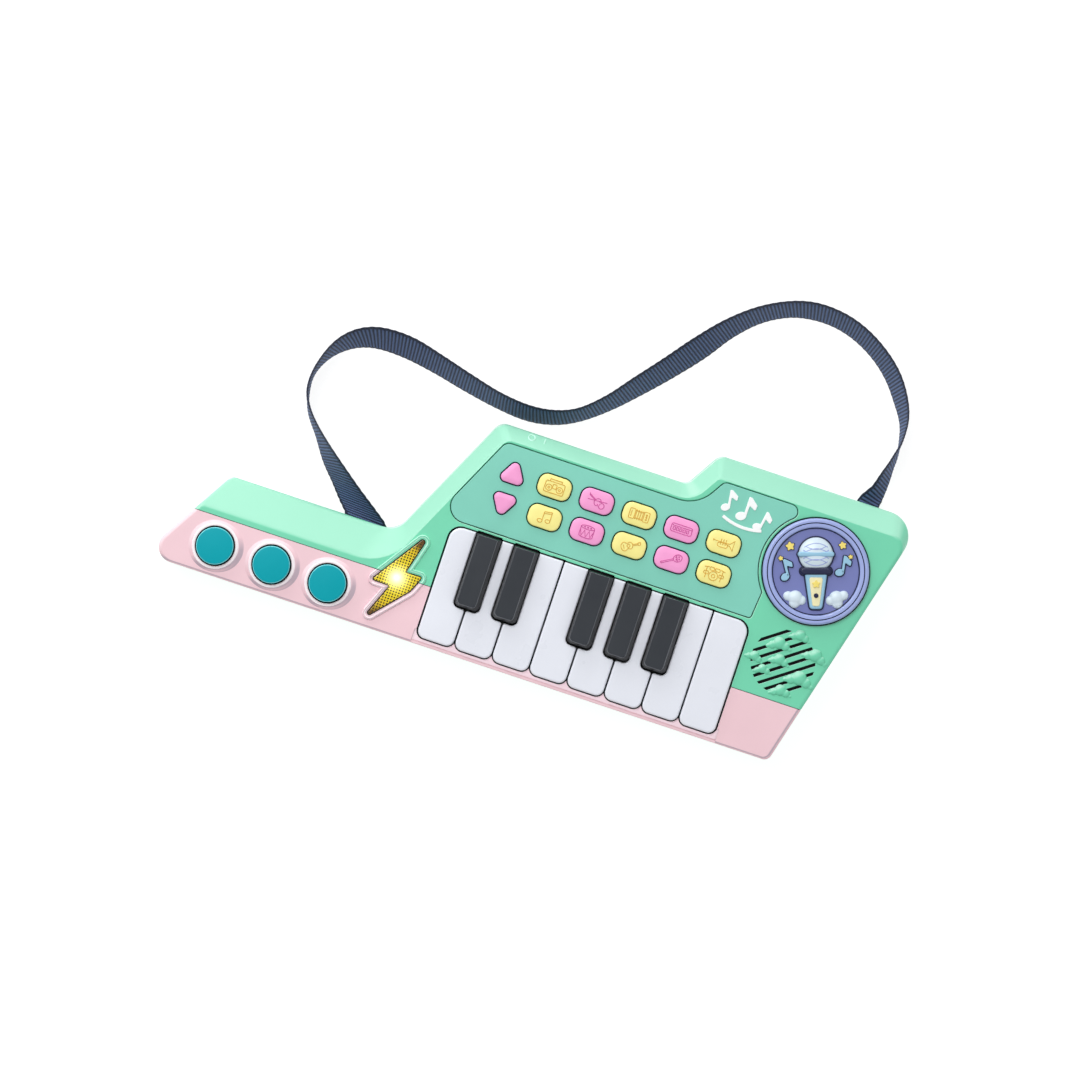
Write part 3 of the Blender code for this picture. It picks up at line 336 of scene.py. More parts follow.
def wires(strokes, z, radius, height=None):
    """Raised lines: each stroke, (points, closed), becomes a round bar at height z.

    z is a number, or a function of the point.
    """
    height = height or radius
    builder = bmesh.new()
    for points, closed in strokes:
        path = [Vector(p) for p in points]
        count = len(path)
        loops = []
        for k in range(count):
            before = path[k - 1] if closed or k else path[0] * 2 - path[1]
            after = path[(k + 1) % count] if closed or k < count - 1 else path[-1] * 2 - path[-2]
            enter, leave = (path[k] - before).normalized(), (after - path[k]).normalized()
            along = (enter + leave).normalized() if (enter + leave).length > 0.1 else leave
            side = Vector((-along.y, along.x)) / max(along.dot(leave), 0.5)
            level = z(path[k]) if callable(z) else z
            loops.append([builder.verts.new((
                (path[k].x + side.x * radius * math.cos(a)) * MM,
                (path[k].y + side.y * radius * math.cos(a)) * MM,
                (level + height * math.sin(a)) * MM)) for a in around(8)])
        add_skin(builder, loops, closed)
    return new_object("solid", builder)


def puffs(balls, z, height):
    """A cloud: flattened balls (x, y, radius) blended into one soft body that stands on height z."""
    builder = bmesh.new()
    for x, y, radius in balls:
        place = Matrix.Translation((x * MM, y * MM, z * MM)) @ Matrix.Diagonal(
            (radius * MM, radius * MM, height * radius / balls[0][2] * MM, 1.0))
        bmesh.ops.create_icosphere(builder, subdivisions=3, radius=1.0, matrix=place)
    item = new_object("cloud", builder)
    remesh = item.modifiers.new("blend", "REMESH")
    remesh.mode = "VOXEL"
    remesh.voxel_size = CLOUD_VOXEL * MM
    soften = item.modifiers.new("soften", "SMOOTH")
    soften.factor = 0.6
    soften.iterations = 4
    return applied(item)


def applied(item):
    """Replace the object's mesh by what its modifiers make of it."""
    bpy.context.view_layer.update()
    graph = bpy.context.evaluated_depsgraph_get()
    mesh = bpy.data.meshes.new_from_object(item.evaluated_get(graph))
    item.modifiers.clear()
    item.data = mesh
    return item


def grouped(*items):
    """Several separate solids in one mesh."""
    builder = bmesh.new()
    for item in items:
        builder.from_mesh(item.data)
        bpy.data.objects.remove(item)
    return new_object("solid", builder)


def combine(body, operation, *others):
    for other in others:
        modifier = body.modifiers.new(operation, "BOOLEAN")
        modifier.operation = operation
        modifier.solver = "EXACT"
        modifier.object = other
    applied(body)
    for other in others:
        bpy.data.objects.remove(other)
    return body


def cut(body, *cutters):
    return combine(body, "DIFFERENCE", *cutters)


def joined(body, *others):
    return combine(body, "UNION", *others)


def common(body, *others):
    return combine(body, "INTERSECT", *others)


# ---- materials -----------------------------------------------------------------------------------
def linear(*channels):
    """Linear colour from 0-255 display values."""
    values = [c / 255 for c in channels]
    return [v / 12.92 if v <= 0.04045 else ((v + 0.055) / 1.055) ** 2.4 for v in values] + [1.0]


class Finish:
    """A material under construction: the nodes feed one Principled shader."""

    def __init__(self, name, colour, roughness, metallic=0.0, specular=0.5):
        self.made = bpy.data.materials.new(name)
        self.made.use_nodes = True
        self.tree = self.made.node_tree
        self.shader = self.tree.nodes["Principled BSDF"]
        self.colour = linear(*colour)
        self.made.diffuse_color = self.colour
        self.set("Base Color", self.colour)
        self.set("Roughness", roughness)
        self.set("Metallic", metallic)
        self.set("Specular IOR Level", specular)
        self.roughness = roughness
        self.place = self.add("ShaderNodeTexCoord").outputs["Object"]

    def set(self, socket, value):
        self.shader.inputs[socket].default_value = value

    def add(self, kind, inputs=None, **settings):
        made = self.tree.nodes.new(kind)
        for key, value in settings.items():
            setattr(made, key, value)
        for key, value in (inputs or {}).items():
            if isinstance(value, bpy.types.NodeSocket):
                self.tree.links.new(value, made.inputs[key])
            else:
                made.inputs[key].default_value = value
        return made

    def feed(self, socket, output):
        self.tree.links.new(output, self.shader.inputs[socket])

    def noise(self, scale, detail=2.0, vector=None):
        return self.add("ShaderNodeTexNoise", {"Vector": vector or self.place, "Scale": scale,
                                               "Detail": detail}).outputs[0]

    def spread(self, value, low, high, out_low=0.0, out_high=1.0):
        return self.add("ShaderNodeMapRange", {"Value": value, "From Min": low, "From Max": high,
                                               "To Min": out_low, "To Max": out_high}).outputs[0]

    def blend(self, factor, first, second):
        mix = self.add("ShaderNodeMix", data_type="RGBA")
        for index, value in ((0, factor), (6, first), (7, second)):
            if isinstance(value, bpy.types.NodeSocket):
                self.tree.links.new(value, mix.inputs[index])
            else:
                mix.inputs[index].default_value = value
        return mix.outputs[2]

    def math(self, operation, first, second=0.0):
        return self.add("ShaderNodeMath", {0: first, 1: second}, operation=operation).outputs[0]

    def times(self, first, second):
        return self.math("MULTIPLY", first, second)

    def plus(self, first, second):
        return self.math("ADD", first, second)

    def relief(self, height, depth, strength=0.6):
        """Bump of a depth in millimetres."""
        bump = self.add("ShaderNodeBump", {"Height": height, "Strength": strength, "Distance": depth * MM})
        self.feed("Normal", bump.outputs[0])

    def tinted(self, factor):
        """The base colour times a number."""
        return [c * factor for c in self.colour[:3]] + [1.0]


def plastic(name, colour, roughness, grain, specular=0.5, coat=0.0, towards=None, away=None, deep=None):
    """Moulded plastic: faint flow marks, a fine spark-eroded texture and slightly uneven gloss.

    towards and away are painted highlight and painted shade: tones given to slopes that lean to the toy's
    bright side and from it. towards, with painted white on the steepest such slopes, is for the band above
    the shoulder, away for gentle slopes only. deep gives two heights in millimetres between which the
    tone is darkened downwards: painted shade, as in a narrow gap.
    """
    kind = Finish(name, colour, roughness, specular=specular)
    cloudy = kind.noise(28.0, 3.0)
    speck = kind.noise(2300.0, 2.0)
    shade = kind.plus(kind.times(cloudy, 0.7), kind.times(speck, 0.3))
    tone = kind.blend(kind.spread(shade, 0.3, 0.7), kind.tinted(0.965), kind.tinted(1.03))
    if towards or away:
        facing = kind.add("ShaderNodeTexCoord").outputs["Normal"]
        slope = kind.add("ShaderNodeVectorMath", {0: facing, 1: BRIGHT_SIDE},
                         operation="DOT_PRODUCT").outputs["Value"]
    height = kind.add("ShaderNodeSeparateXYZ", {0: kind.place}).outputs[2]
    # Painted highlight: slopes that face the bright side are lightened, the steepest to white.
    if towards:
        lit = kind.blend(kind.spread(slope, 0.05, 0.32), tone, linear(*towards))
        lit = kind.blend(kind.spread(slope, 0.76, 1.1), lit, (1.0, 1.0, 1.0, 1.0))
        tone = kind.blend(kind.spread(height, (Z_SHOULDER - 3.0) * MM, Z_SHOULDER * MM), tone, lit)
    # Painted shade: gentle slopes that face away from the bright side are darkened.
    if away:
        shaded = kind.blend(kind.spread(slope, -0.01, -0.17), tone, linear(*away))
        tone = kind.blend(kind.spread(slope, -0.3, -0.5), shaded, tone)
    # Painted shade: darker towards the bottom, as in the narrow gaps between keys.
    if deep:
        tone = kind.blend(kind.spread(height, deep[0] * MM, deep[1] * MM), kind.tinted(0.06), tone)
    kind.feed("Base Color", tone)
    kind.feed("Roughness", kind.spread(kind.noise(60.0, 4.0), 0.3, 0.7, roughness - 0.05, roughness + 0.07))
    kind.relief(kind.noise(2600.0, 3.0), grain, 0.5)
    kind.set("Coat Weight", coat)
    kind.set("Coat Roughness", 0.2)
    return kind.made


def lens_finish():
    """Amber lens with a dot pattern behind it, browner at its tips, and with a painted glow over the lamp."""
    kind = Finish("amber_lens", (244, 224, 40), 0.14)
    dots = kind.add("ShaderNodeTexVoronoi", {"Vector": kind.place, "Scale": 640.0, "Randomness": 0.0},
                    voronoi_dimensions="2D").outputs["Distance"]
    offset = kind.add("ShaderNodeVectorMath", {0: kind.place, 1: (BOLT_CENTRE[0] * MM, BOLT_CENTRE[1] * MM,
                                                                  0.0)}, operation="SUBTRACT").outputs[0]
    flat = kind.add("ShaderNodeVectorMath", {0: offset, 1: (1.0, 1.0, 0.0)}, operation="MULTIPLY").outputs[0]
    away = kind.add("ShaderNodeVectorMath", {0: flat}, operation="LENGTH").outputs["Value"]
    cloudy = kind.plus(away, kind.times(kind.noise(260.0), 0.006))
    glow = kind.spread(away, 0.0115, 0.0005)
    warm = kind.blend(kind.spread(cloudy, 0.010, 0.020), kind.colour, linear(222, 190, 28))
    amber = kind.blend(kind.spread(cloudy, 0.0205, 0.0262), warm, linear(104, 66, 12))
    dotted = kind.blend(kind.spread(dots, 0.34, 0.27), amber, linear(52, 44, 8))
    kind.feed("Base Color", dotted)
    # Painted glow: the lens itself gives off light over the lamp behind it.
    kind.feed("Emission Color", kind.blend(glow, linear(90, 62, 0), linear(255, 250, 190)))
    kind.feed("Emission Strength", kind.times(kind.math("POWER", glow, 2.0), 2.4))
    kind.relief(kind.noise(900.0), 0.02, 0.4)
    kind.set("Coat Weight", 0.35)
    return kind.made


def webbing_finish():
    """Ribbed polypropylene webbing: ribs of pale and dark thread across it, between dark selvages."""
    kind = Finish("navy_webbing", (36, 56, 98), 0.75)
    kind.set("Sheen Weight", 0.12)
    kind.set("Sheen Roughness", 0.4)
    kind.set("Sheen Tint", linear(150, 170, 215))
    weave = kind.add("ShaderNodeUVMap", uv_map="weave").outputs[0]
    parts = kind.add("ShaderNodeSeparateXYZ", {0: weave})
    length, width = parts.outputs[0], parts.outputs[1]
    ribs_per_metre = 2 * math.pi / (RIB_PITCH * MM)
    slant = kind.plus(kind.times(length, ribs_per_metre), kind.times(width, ribs_per_metre * 0.08))
    rib = kind.math("SINE", slant)
    picks = kind.math("SINE", kind.times(width, ribs_per_metre * 1.4))
    thread = kind.plus(kind.times(rib, 0.5), kind.times(picks, 0.16))
    worn = kind.plus(thread, kind.times(kind.noise(900.0, 4.0), 0.4))
    tone = kind.blend(kind.spread(worn, -0.25, 0.75), linear(8, 14, 40), linear(86, 106, 152))
    edge = kind.math("ABSOLUTE", width)
    kind.feed("Base Color", kind.blend(kind.spread(edge, 0.0102, 0.0112), tone, linear(18, 25, 52)))
    kind.relief(worn, 0.3, 0.9)
    return kind.made


def cone_finish():
    kind = Finish("speaker_paper", (38, 38, 40), 0.9)
    fibre = kind.noise(1500.0, 6.0)
    kind.feed("Base Color", kind.blend(fibre, kind.tinted(0.7), kind.tinted(1.5)))
    kind.relief(fibre, 0.1)
    return kind.made


def metal(name, colour, roughness):
    """Plated or painted steel, with fine drawn lines."""
    kind = Finish(name, colour, roughness, metallic=1.0)
    drawn = kind.add("ShaderNodeMapping", {"Vector": kind.place, "Scale": (60.0, 1900.0, 1900.0)})
    lines = kind.noise(1.0, 3.0, drawn.outputs[0])
    kind.feed("Roughness", kind.spread(lines, 0.3, 0.7, roughness - 0.08, roughness + 0.12))
    kind.feed("Base Color", kind.blend(kind.noise(90.0), kind.tinted(0.85), kind.tinted(1.08)))
    kind.relief(lines, 0.02)
    return kind.made


def board_finish():
    """Green solder mask over copper tracks."""
    kind = Finish("circuit_board", (30, 92, 58), 0.35)
    tracks = kind.add("ShaderNodeTexBrick", {"Vector": kind.place, "Scale": 260.0, "Mortar Size": 0.06,
                                             "Color1": kind.tinted(1.0), "Color2": kind.tinted(1.25),
                                             "Mortar": kind.tinted(0.6)}, offset=0.35).outputs["Color"]
    kind.feed("Base Color", tracks)
    kind.relief(kind.noise(800.0), 0.03)
    return kind.made


def cell_finish():
    """A plain sleeved cell: blue with a bright band towards its raised end."""
    kind = Finish("cell_wrap", (46, 84, 140), 0.28)
    x = kind.add("ShaderNodeSeparateXYZ", {0: kind.place}).outputs[0]
    split = kind.spread(x, 0.1268, 0.1270)
    kind.feed("Base Color", kind.blend(split, kind.tinted(1.0), linear(206, 196, 170)))
    kind.relief(kind.noise(300.0), 0.02)
    return kind.made


def floor_finish():
    """White paper that glows a little, as over a light table, so that shadows stay faint."""
    kind = Finish("studio_floor", (250, 250, 250), 0.7, specular=0.2)
    kind.feed("Base Color", kind.blend(kind.noise(3.0), linear(138, 138, 138), linear(142, 142, 142)))
    kind.set("Emission Color", (1.0, 1.0, 1.0, 1.0))
    kind.set("Emission Strength", 0.87)
    return kind.made


# Plastics by key: name, colour, roughness, depth of the texture, and options of plastic().
PLASTICS = {
    # mint and pink take a painted highlight on slopes facing the light; pink also a painted shade on slopes
    # facing away.
    "mint": ("mint_plastic", (114, 213, 175), 0.42, 0.05, {"towards": (159, 226, 198)}),
    # Paler mint: a painted highlight on raised edges; also the colour of the switch marks.
    "mint_lip": ("mint_plastic_lip", (196, 246, 226), 0.42, 0.05, {}),
    "pink": ("pink_plastic", (240, 203, 211), 0.42, 0.05,
             {"towards": (246, 218, 225), "away": (192, 172, 184)}),
    # Whitish pink: a painted highlight on the neck buttons' collars and the lens bezel.
    "pink_highlight": ("pink_plastic_lip", (255, 246, 250), 0.42, 0.05, {}),
    # Paler pink: a painted highlight on the top of the rim in front of the keys.
    "pink_rim_highlight": ("pink_plastic_rim", (252, 224, 233), 0.42, 0.05, {}),
    "panel": ("panel_plastic", (126, 206, 186), 0.42, 0.05, {}),
    "dark": ("shadowed_plastic", (16, 22, 22), 0.7, 0.02, {"specular": 0.2}),
    # Dark mint: painted shade on the walls of openings in the upper part of the face and on the panel's
    # sides.
    "groove": ("mint_plastic_groove", (34, 92, 74), 0.7, 0.02, {"specular": 0.2}),
    # The white keys are painted darker towards their bottoms: painted shade of the gaps between them.
    "white": ("white_plastic", (232, 235, 244), 0.3, 0.012, {"deep": (32.0, 37.2)}),
    "black": ("black_plastic", (50, 54, 60), 0.36, 0.02, {"specular": 0.3}),
    # Black keys: a painted highlight along the top's edge, and painted shade on the sides.
    "black_highlight": ("black_plastic_edge", (104, 108, 114), 0.3, 0.012, {}),
    "black_shade": ("black_plastic_side", (14, 15, 18), 0.4, 0.02, {"specular": 0.3}),
    "yellow": ("yellow_button", (249, 238, 146), 0.4, 0.02, {}),
    # Dark green on the yellow buttons' sides: painted shade of the gap round them.
    "yellow_gap_shade": ("yellow_button_outline", (34, 96, 56), 0.5, 0.02, {}),
    "orange_line": ("yellow_button_line", (220, 172, 66), 0.45, 0.02, {}),
    "pink_button": ("pink_button", (246, 160, 212), 0.4, 0.02, {}),
    # Navy on the pink buttons' sides: painted shade of the gap round them.
    "pink_gap_shade": ("pink_button_outline", (42, 44, 92), 0.5, 0.02, {}),
    "magenta_line": ("pink_button_line", (206, 88, 160), 0.45, 0.02, {}),
    "teal": ("neck_button", (0, 160, 173), 0.4, 0.03, {"specular": 0.15}),
    # Pale teal: a painted highlight on the neck buttons' rounded edge.
    "teal_highlight": ("neck_button_edge", (120, 216, 222), 0.3, 0.012, {}),
    "rim": ("medallion_rim", (158, 172, 224), 0.3, 0.012, {"coat": 0.2}),
    "dish": ("medallion_dish", (118, 126, 186), 0.34, 0.012, {}),
    "navy": ("medallion_navy", (22, 28, 66), 0.35, 0.012, {}),
    "sky": ("medallion_sky", (150, 196, 222), 0.32, 0.012, {}),
    "pale": ("medallion_pale", (214, 230, 240), 0.32, 0.012, {}),
    "gold": ("medallion_gold", (244, 222, 118), 0.32, 0.012, {}),
    "cream": ("medallion_cream", (240, 232, 186), 0.32, 0.012, {}),
    "mark": ("white_mark", (250, 252, 252), 0.4, 0.012, {}),
    "inner": ("inner_plastic", (206, 208, 204), 0.55, 0.05, {}),
    "silicone": ("silicone", (206, 208, 206), 0.7, 0.05, {}),
    "lens_edge": ("amber_lens_edge", (88, 64, 14), 0.25, 0.012, {}),
}


def make_finishes():
    made = {key: plastic(*values, **options) for key, (*values, options) in PLASTICS.items()}
    made["steel"] = metal("steel", (190, 190, 192), 0.32)
    made["speaker_steel"] = metal("speaker_steel", (92, 94, 98), 0.45)
    made["cloth"], made["lens"], made["board"] = cone_finish(), lens_finish(), board_finish()
    made["cell"], made["webbing"], made["floor"] = cell_finish(), webbing_finish(), floor_finish()
    return made


def finish(name, item, surfaces, body="casing", replaces=(), rule=None):
    """Name a piece, paint and shade it, and let it ride on its body.

    rule(centre, normal) gives each face's place in surfaces; centre is in millimetres.
    """
    item.name = name
    item.data.name = name
    surfaces = surfaces if isinstance(surfaces, (list, tuple)) else [surfaces]
    item.data.materials.clear()
    for surface in surfaces:
        item.data.materials.append(FINISHES[surface])
    for face in item.data.polygons:
        face.material_index = rule(face.center / MM, face.normal) if rule else 0
    item.data.shade_smooth()
    item.data.set_sharp_from_angle(angle=math.radians(34))
    normals = item.modifiers.new("even shading", "WEIGHTED_NORMAL")
    normals.keep_sharp = True
    normals.weight = 80
    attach(item, body)
    if replaces:
        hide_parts(*replaces)
    return item


# ---- camera, lights and floor --------------------------------------------------------------------
def make_camera():
    data = bpy.data.cameras.new("camera")
    data.lens = 200.0
    data.sensor_width = 36.0
    data.clip_start = 0.05
    camera = bpy.data.objects.new("camera", data)
    camera.location = (0.00297, 0.0, Z_FACE * MM + 3.354)
    camera.rotation_euler = (0.0, 0.0, VIEW_TURN)
    bpy.context.scene.collection.objects.link(camera)
    bpy.context.scene.camera = camera


def area_light(name, place, size, watts):
    """Soft panel light aimed at the toy; place is (right, up, height) as the camera sees it, in metres."""
    right, up, height = place
    data = bpy.data.lights.new(name, "AREA")
    data.shape = "RECTANGLE"
    data.size, data.size_y = size
    data.energy = watts
    lamp = bpy.data.objects.new(name, data)
    c, s = math.cos(VIEW_TURN), math.sin(VIEW_TURN)
    lamp.location = (right * c - up * s, right * s + up * c, height)
    lamp.rotation_euler = (-lamp.location).to_track_quat("-Z", "Y").to_euler()
    bpy.context.scene.collection.objects.link(lamp)


def make_studio():
    area_light("top_softbox", (-0.4, 0.8, 1.55), (1.1, 0.9), 17.5)
    area_light("rear_softbox", (-0.5, 1.6, 0.5), (2.2, 0.7), 14.0)
    area_light("fill_softbox", (0.9, -0.7, 1.4), (1.2, 1.2), 3.0)
    world = bpy.data.worlds.new("studio")
    world.use_nodes = True
    world.node_tree.nodes["Background"].inputs["Color"].default_value = (1.0, 1.0, 1.0, 1.0)
    world.node_tree.nodes["Background"].inputs["Strength"].default_value = 0.42
    bpy.context.scene.world = world
    bpy.context.scene.view_settings.view_transform = "Standard"
    floor = prism(circle(0.0, 0.0, 4000.0, 96), -6.0, -0.15)
    floor.name = "floor"
    floor.data.materials.append(FINISHES["floor"])


# ---- strap ---------------------------------------------------------------------------------------
def smooth_route(points):
    """Catmull-Rom curve through the route's points."""
    path = [Vector(p) for p in points]
    path = [2 * path[0] - path[1]] + path + [2 * path[-1] - path[-2]]
    curve = []
    for a, b, c, d in zip(path, path[1:], path[2:], path[3:]):
        for t in [k / ROUTE_STEPS for k in range(ROUTE_STEPS)]:
            curve.append(0.5 * (2 * b + (c - a) * t + (2 * a - 5 * b + 4 * c - d) * t * t +
                                (3 * b - a - 3 * c + d) * t ** 3))
    return curve + [path[-2]]


def evenly(curve, spacing):
    """The same curve with points a fixed distance apart, and each point's distance from the start."""
    travelled = [0.0]
    for a, b in zip(curve, curve[1:]):
        travelled.append(travelled[-1] + (b - a).xy.length)
    count = round(travelled[-1] / spacing)
    points, spots, segment = [], [], 0
    for k in range(count + 1):
        target = travelled[-1] * k / count
        while segment < len(curve) - 2 and travelled[segment + 1] < target:
            segment += 1
        share = (target - travelled[segment]) / (travelled[segment + 1] - travelled[segment])
        points.append(curve[segment].lerp(curve[segment + 1], share))
        spots.append(target)
    return points, spots


def strap_spread(left):
    """The webbing's width as a share of its full width, where that length is left to its right end."""
    folded = STRAP_FOLDED_WIDTH / STRAP_WIDTH
    return folded + (1.0 - folded) * ease((left - STRAP_FOLD[0]) / STRAP_FOLD[1])


def strap_level(spot, left):
    """How far the webbing lines up with its slots, from 0 to 1, at a distance from each end."""
    ends = [1.0 - (distance - level) / settle
            for distance, level, settle in zip((spot, left), STRAP_LEVEL, STRAP_SETTLE)]
    return ease(max(ends))


def strap_section():
    """A section's outline: (share of the half width, share of the half thickness), thicker near its edges."""
    upper = []
    for a in [-1 + k / 4 for k in range(9)]:
        selvage = 1.0 if abs(a) < 0.8 else 1.12
        upper.append((a, 0.35 if abs(a) > 0.99 else selvage))
    return upper + [(a, -b) for a, b in reversed(upper)]


def shoulder_strap():
    """Webbing swept along its route, ribbed across and scalloped at its edges."""
    points, spots = evenly(smooth_route(STRAP_ROUTE), RIB_PITCH / 4)
    total = spots[-1]
    section = strap_section()
    builder = bmesh.new()
    weave = builder.loops.layers.uv.new("weave")
    loops, centreline, laid = [], [], {}
    for index, (point, spot) in enumerate(zip(points, spots)):
        before, after = points[max(index - 1, 0)], points[min(index + 1, len(points) - 1)]
        along = Vector((after.x - before.x, after.y - before.y, 0)).normalized()
        lean = math.radians(max(point.z, -90.0))
        flat = strap_level(spot, total - spot)
        side = Vector((-along.y, along.x, 0))
        side = side.lerp(Vector((math.copysign(1, side.x), 0, 0)), flat).normalized()
        across = side * math.sin(lean) + Vector((0, 0, math.cos(lean)))
        width = STRAP_WIDTH * strap_spread(total - spot)
        standing = width / 2 * math.cos(lean) + STRAP_CLEARANCE * STRAP_WIDTH / width
        centre = Vector((point.x, point.y, standing + max(Z_STRAP - standing, 0.0) * flat))
        normal = along.cross(across).normalized()
        scallop = abs(math.sin(math.pi * spot / (2 * RIB_PITCH)))
        furrow = 0.5 - 0.5 * math.cos(2 * math.pi * spot / RIB_PITCH)
        half = across * (width / 2 * (1.0 - SCALLOP_DEPTH * (1.0 - scallop)))
        depth = normal * (STRAP_THICKNESS / 2 * STRAP_WIDTH / width * (1.0 - FURROW_DEPTH * furrow))
        loop = []
        for a, b in section:
            vertex = builder.verts.new((centre + half * a + depth * b) * MM)
            laid[vertex] = (spot * MM, a * STRAP_WIDTH / 2 * MM)
            loop.append(vertex)
        loops.append(loop)
        centreline.append(centre * MM)
    add_skin(builder, loops)
    for face in builder.faces:
        for corner in face.loops:
            corner[weave].uv = laid[corner.vert]
    strap = finish("shoulder_strap_webbing", new_object("strap", builder), "webbing",
                   replaces=["shoulder_strap"])


# ---- casing --------------------------------------------------------------------------------------
def band_profile():
    """(share of the band's width, height) up the casing's wall and over the band to the face."""
    rise = Z_FACE - Z_SHOULDER
    low, high = SOFTENING, 1 - SOFTENING
    steps = [k / 6 for k in range(7)]
    wall = [(0.0, Z_SPLIT + GAP + 0.3), (0.0, Z_SHOULDER - 3 * rise * low)]
    shoulder = [(low * t * t, Z_SHOULDER - 3 * rise * low * (1 - t) ** 2 + rise * low * t * t)
                for t in steps[1:]]
    crease = [(high + 2 * SOFTENING * t - SOFTENING * t * t * 0.4, Z_FACE - rise * low * (1 - t) ** 2)
              for t in steps]
    return wall + shoulder + crease


def roof_corners(share, z):
    """The casing's corners at height z, where the sloped band reaches that share of its width."""
    distances = []
    for width, radius in zip(BAND, EDGE_ROUNDING):
        climb = max(z - (Z_FACE - radius), 0.0)
        distances.append(width * share + radius - math.sqrt(max(radius ** 2 - climb ** 2, 0.0)))
    growth = []
    for index, change in enumerate(BAND_RADIUS_GROWTH):
        plain = min(distances[index - 1] * (BAND[index - 1] == 0), distances[index] * (BAND[index] == 0))
        growth.append(change * share - plain)
    return inset(BODY, distances, growth)


def key_opening(margin):
    """Opening for the keys, a margin larger all round; its front edge rises to a tip between two keys."""
    left, right, rear = KEYS_LEFT - 0.5, KEYS_RIGHT + 0.5, KEYS_REAR + 0.25
    bay, back = BAY_RADIUS + margin, REAR_CORNER_RADIUS + margin
    low, high = KEYS_FRONT + BAY_RADIUS, rear - REAR_CORNER_RADIUS
    outline = arc(left + BAY_RADIUS, low, bay, 180, 270, 8)
    for gap in range(1, KEY_COUNT):
        x, aside = KEYS_LEFT + gap * KEY_PITCH, BAY_RADIUS - KEY_GAP / 4
        reach = math.degrees(math.acos((aside - CUSP_WIDTH / 2) / bay))
        outline += arc(x - aside, low, bay, 270, 360 - reach, 8)
        outline += arc(x + aside, low, bay, 180 + reach, 270, 8)
    outline += arc(right - BAY_RADIUS, low, bay, 270, 360, 8)
    outline += arc(right - REAR_CORNER_RADIUS, high, back, 0, 90, 8)
    return outline + arc(left + REAR_CORNER_RADIUS, high, back, 90, 180, 8)


def rear_notches():
    """Slits behind the keys: one that each black key's rear end lies in, and short ones at the other gaps."""
    half = BLACK_WIDTH / 2
    notches = []
    for gap in range(1, KEY_COUNT):
        x = KEYS_LEFT + gap * KEY_PITCH
        deep, right = (0.95, x + half) if gap in BLACK_GAPS else (0.6, x + 0.8)
        notches.append(block(x - half, right, KEYS_REAR - 1, KEYS_REAR + deep, Z_FACE - 2 * WALL, Z_FACE + 4))
    return notches


def grille_slots():
    along = Vector((math.cos(SLOT_ANGLE), math.sin(SLOT_ANGLE)))
    across = Vector((-along.y, along.x))
    slots = []
    for row in range(-3, 5):
        offset = (row - 0.5) * SLOT_PITCH
        corners = []
        for side, turn in ((-1, -1), (1, -1), (1, 1), (-1, 1)):
            edge = offset + turn * SLOT_WIDTH / 2
            reach = math.sqrt(GRILLE_RADIUS ** 2 - edge ** 2)
            corner = Vector(SPEAKER) + across * edge + along * reach * side
            corners.append((corner.x, corner.y, 0.25))
        slots.append(opening(rounded(corners, 45.0), lip=0.2))
    return slots


def panel_outline():
    x, y = MEDALLION
    tip_y = PANEL_TOP_RIGHT - PANEL_TIP_RADIUS
    reach = PANEL_ARC_RADIUS + PANEL_TIP_RADIUS
    tip_x = x - math.sqrt(reach ** 2 - (tip_y - y) ** 2)
    meet = math.degrees(math.atan2(tip_y - y, tip_x - x))
    around_medallion = [(px, py, 0.0) for px, py in arc(x, y, PANEL_ARC_RADIUS, 219.0, meet, 24)]
    tip = [(px, py, 0.0) for px, py in arc(tip_x, tip_y, PANEL_TIP_RADIUS, meet - 180.0, 90.0, 14)[1:]]
    return rounded([(-55.9, PANEL_BOTTOM, 9.0), (128.2, PANEL_BOTTOM, 1.5)] + around_medallion + tip +
                   [(91.0, PANEL_TOP_RIGHT, 4.0), (80.5, PANEL_TOP_LEFT, 20.0),
                    (-32.0, PANEL_TOP_LEFT, 5.0)])


def neck_mound(x):
    """Broad low mound round a neck button, longer along the neck, with a rounded collar at its top.

    The mound's corners lie half a step off the collar's, which keeps the join clean.
    """
    def outline(rise):
        points = []
        for angle in [a + math.pi / 96 for a in around(96)]:
            reach = math.hypot(MOUND_REACH[math.cos(angle) < 0] * math.cos(angle),
                               MOUND_REACH[2] * math.sin(angle))
            radius = COLLAR_RADIUS - 0.2 + reach * (1 - rise)
            points.append((x + radius * math.cos(angle), NECK_BUTTONS_Y + radius * math.sin(angle)))
        return points

    foot, rim = Z_FACE - 1, Z_COLLAR + 0.25
    rises = [k / 9 for k in range(10)]
    mound = loft((outline(0.0), foot), *[(outline(t), Z_FACE - 0.1 + MOUND_HEIGHT * ease(t)) for t in rises])
    outer = COLLAR_RADIUS
    collar = turned(x, NECK_BUTTONS_Y, [
        (0, foot), (outer, foot), (outer, rim - 0.35), (outer - 0.12, rim - 0.13), (outer - 0.4, rim),
        (NECK_OPENING_RADIUS - 0.5, rim), (0, rim)], 96)
    return joined(mound, collar)


def bolt_outline(margin):
    """The lens's outline, moved outwards by a margin."""
    return moulded(BOLT, 12.0)(-margin)


def bolt_bezel():
    """Raised edge round the lens opening: rounded outside, and sinking a little towards the lens."""
    top = Z_COLLAR + 0.1
    profile = ((0.0, Z_FACE - 1), (0.0, Z_FACE + 0.3), (0.1, top - 0.45), (0.35, top - 0.12), (0.75, top),
               (1.15, top - 0.1), (1.6, top - 0.35), (BEZEL_WIDTH - 0.2, top - 0.4))
    return loft(*[(bolt_outline(BEZEL_WIDTH - inwards), z) for inwards, z in profile])


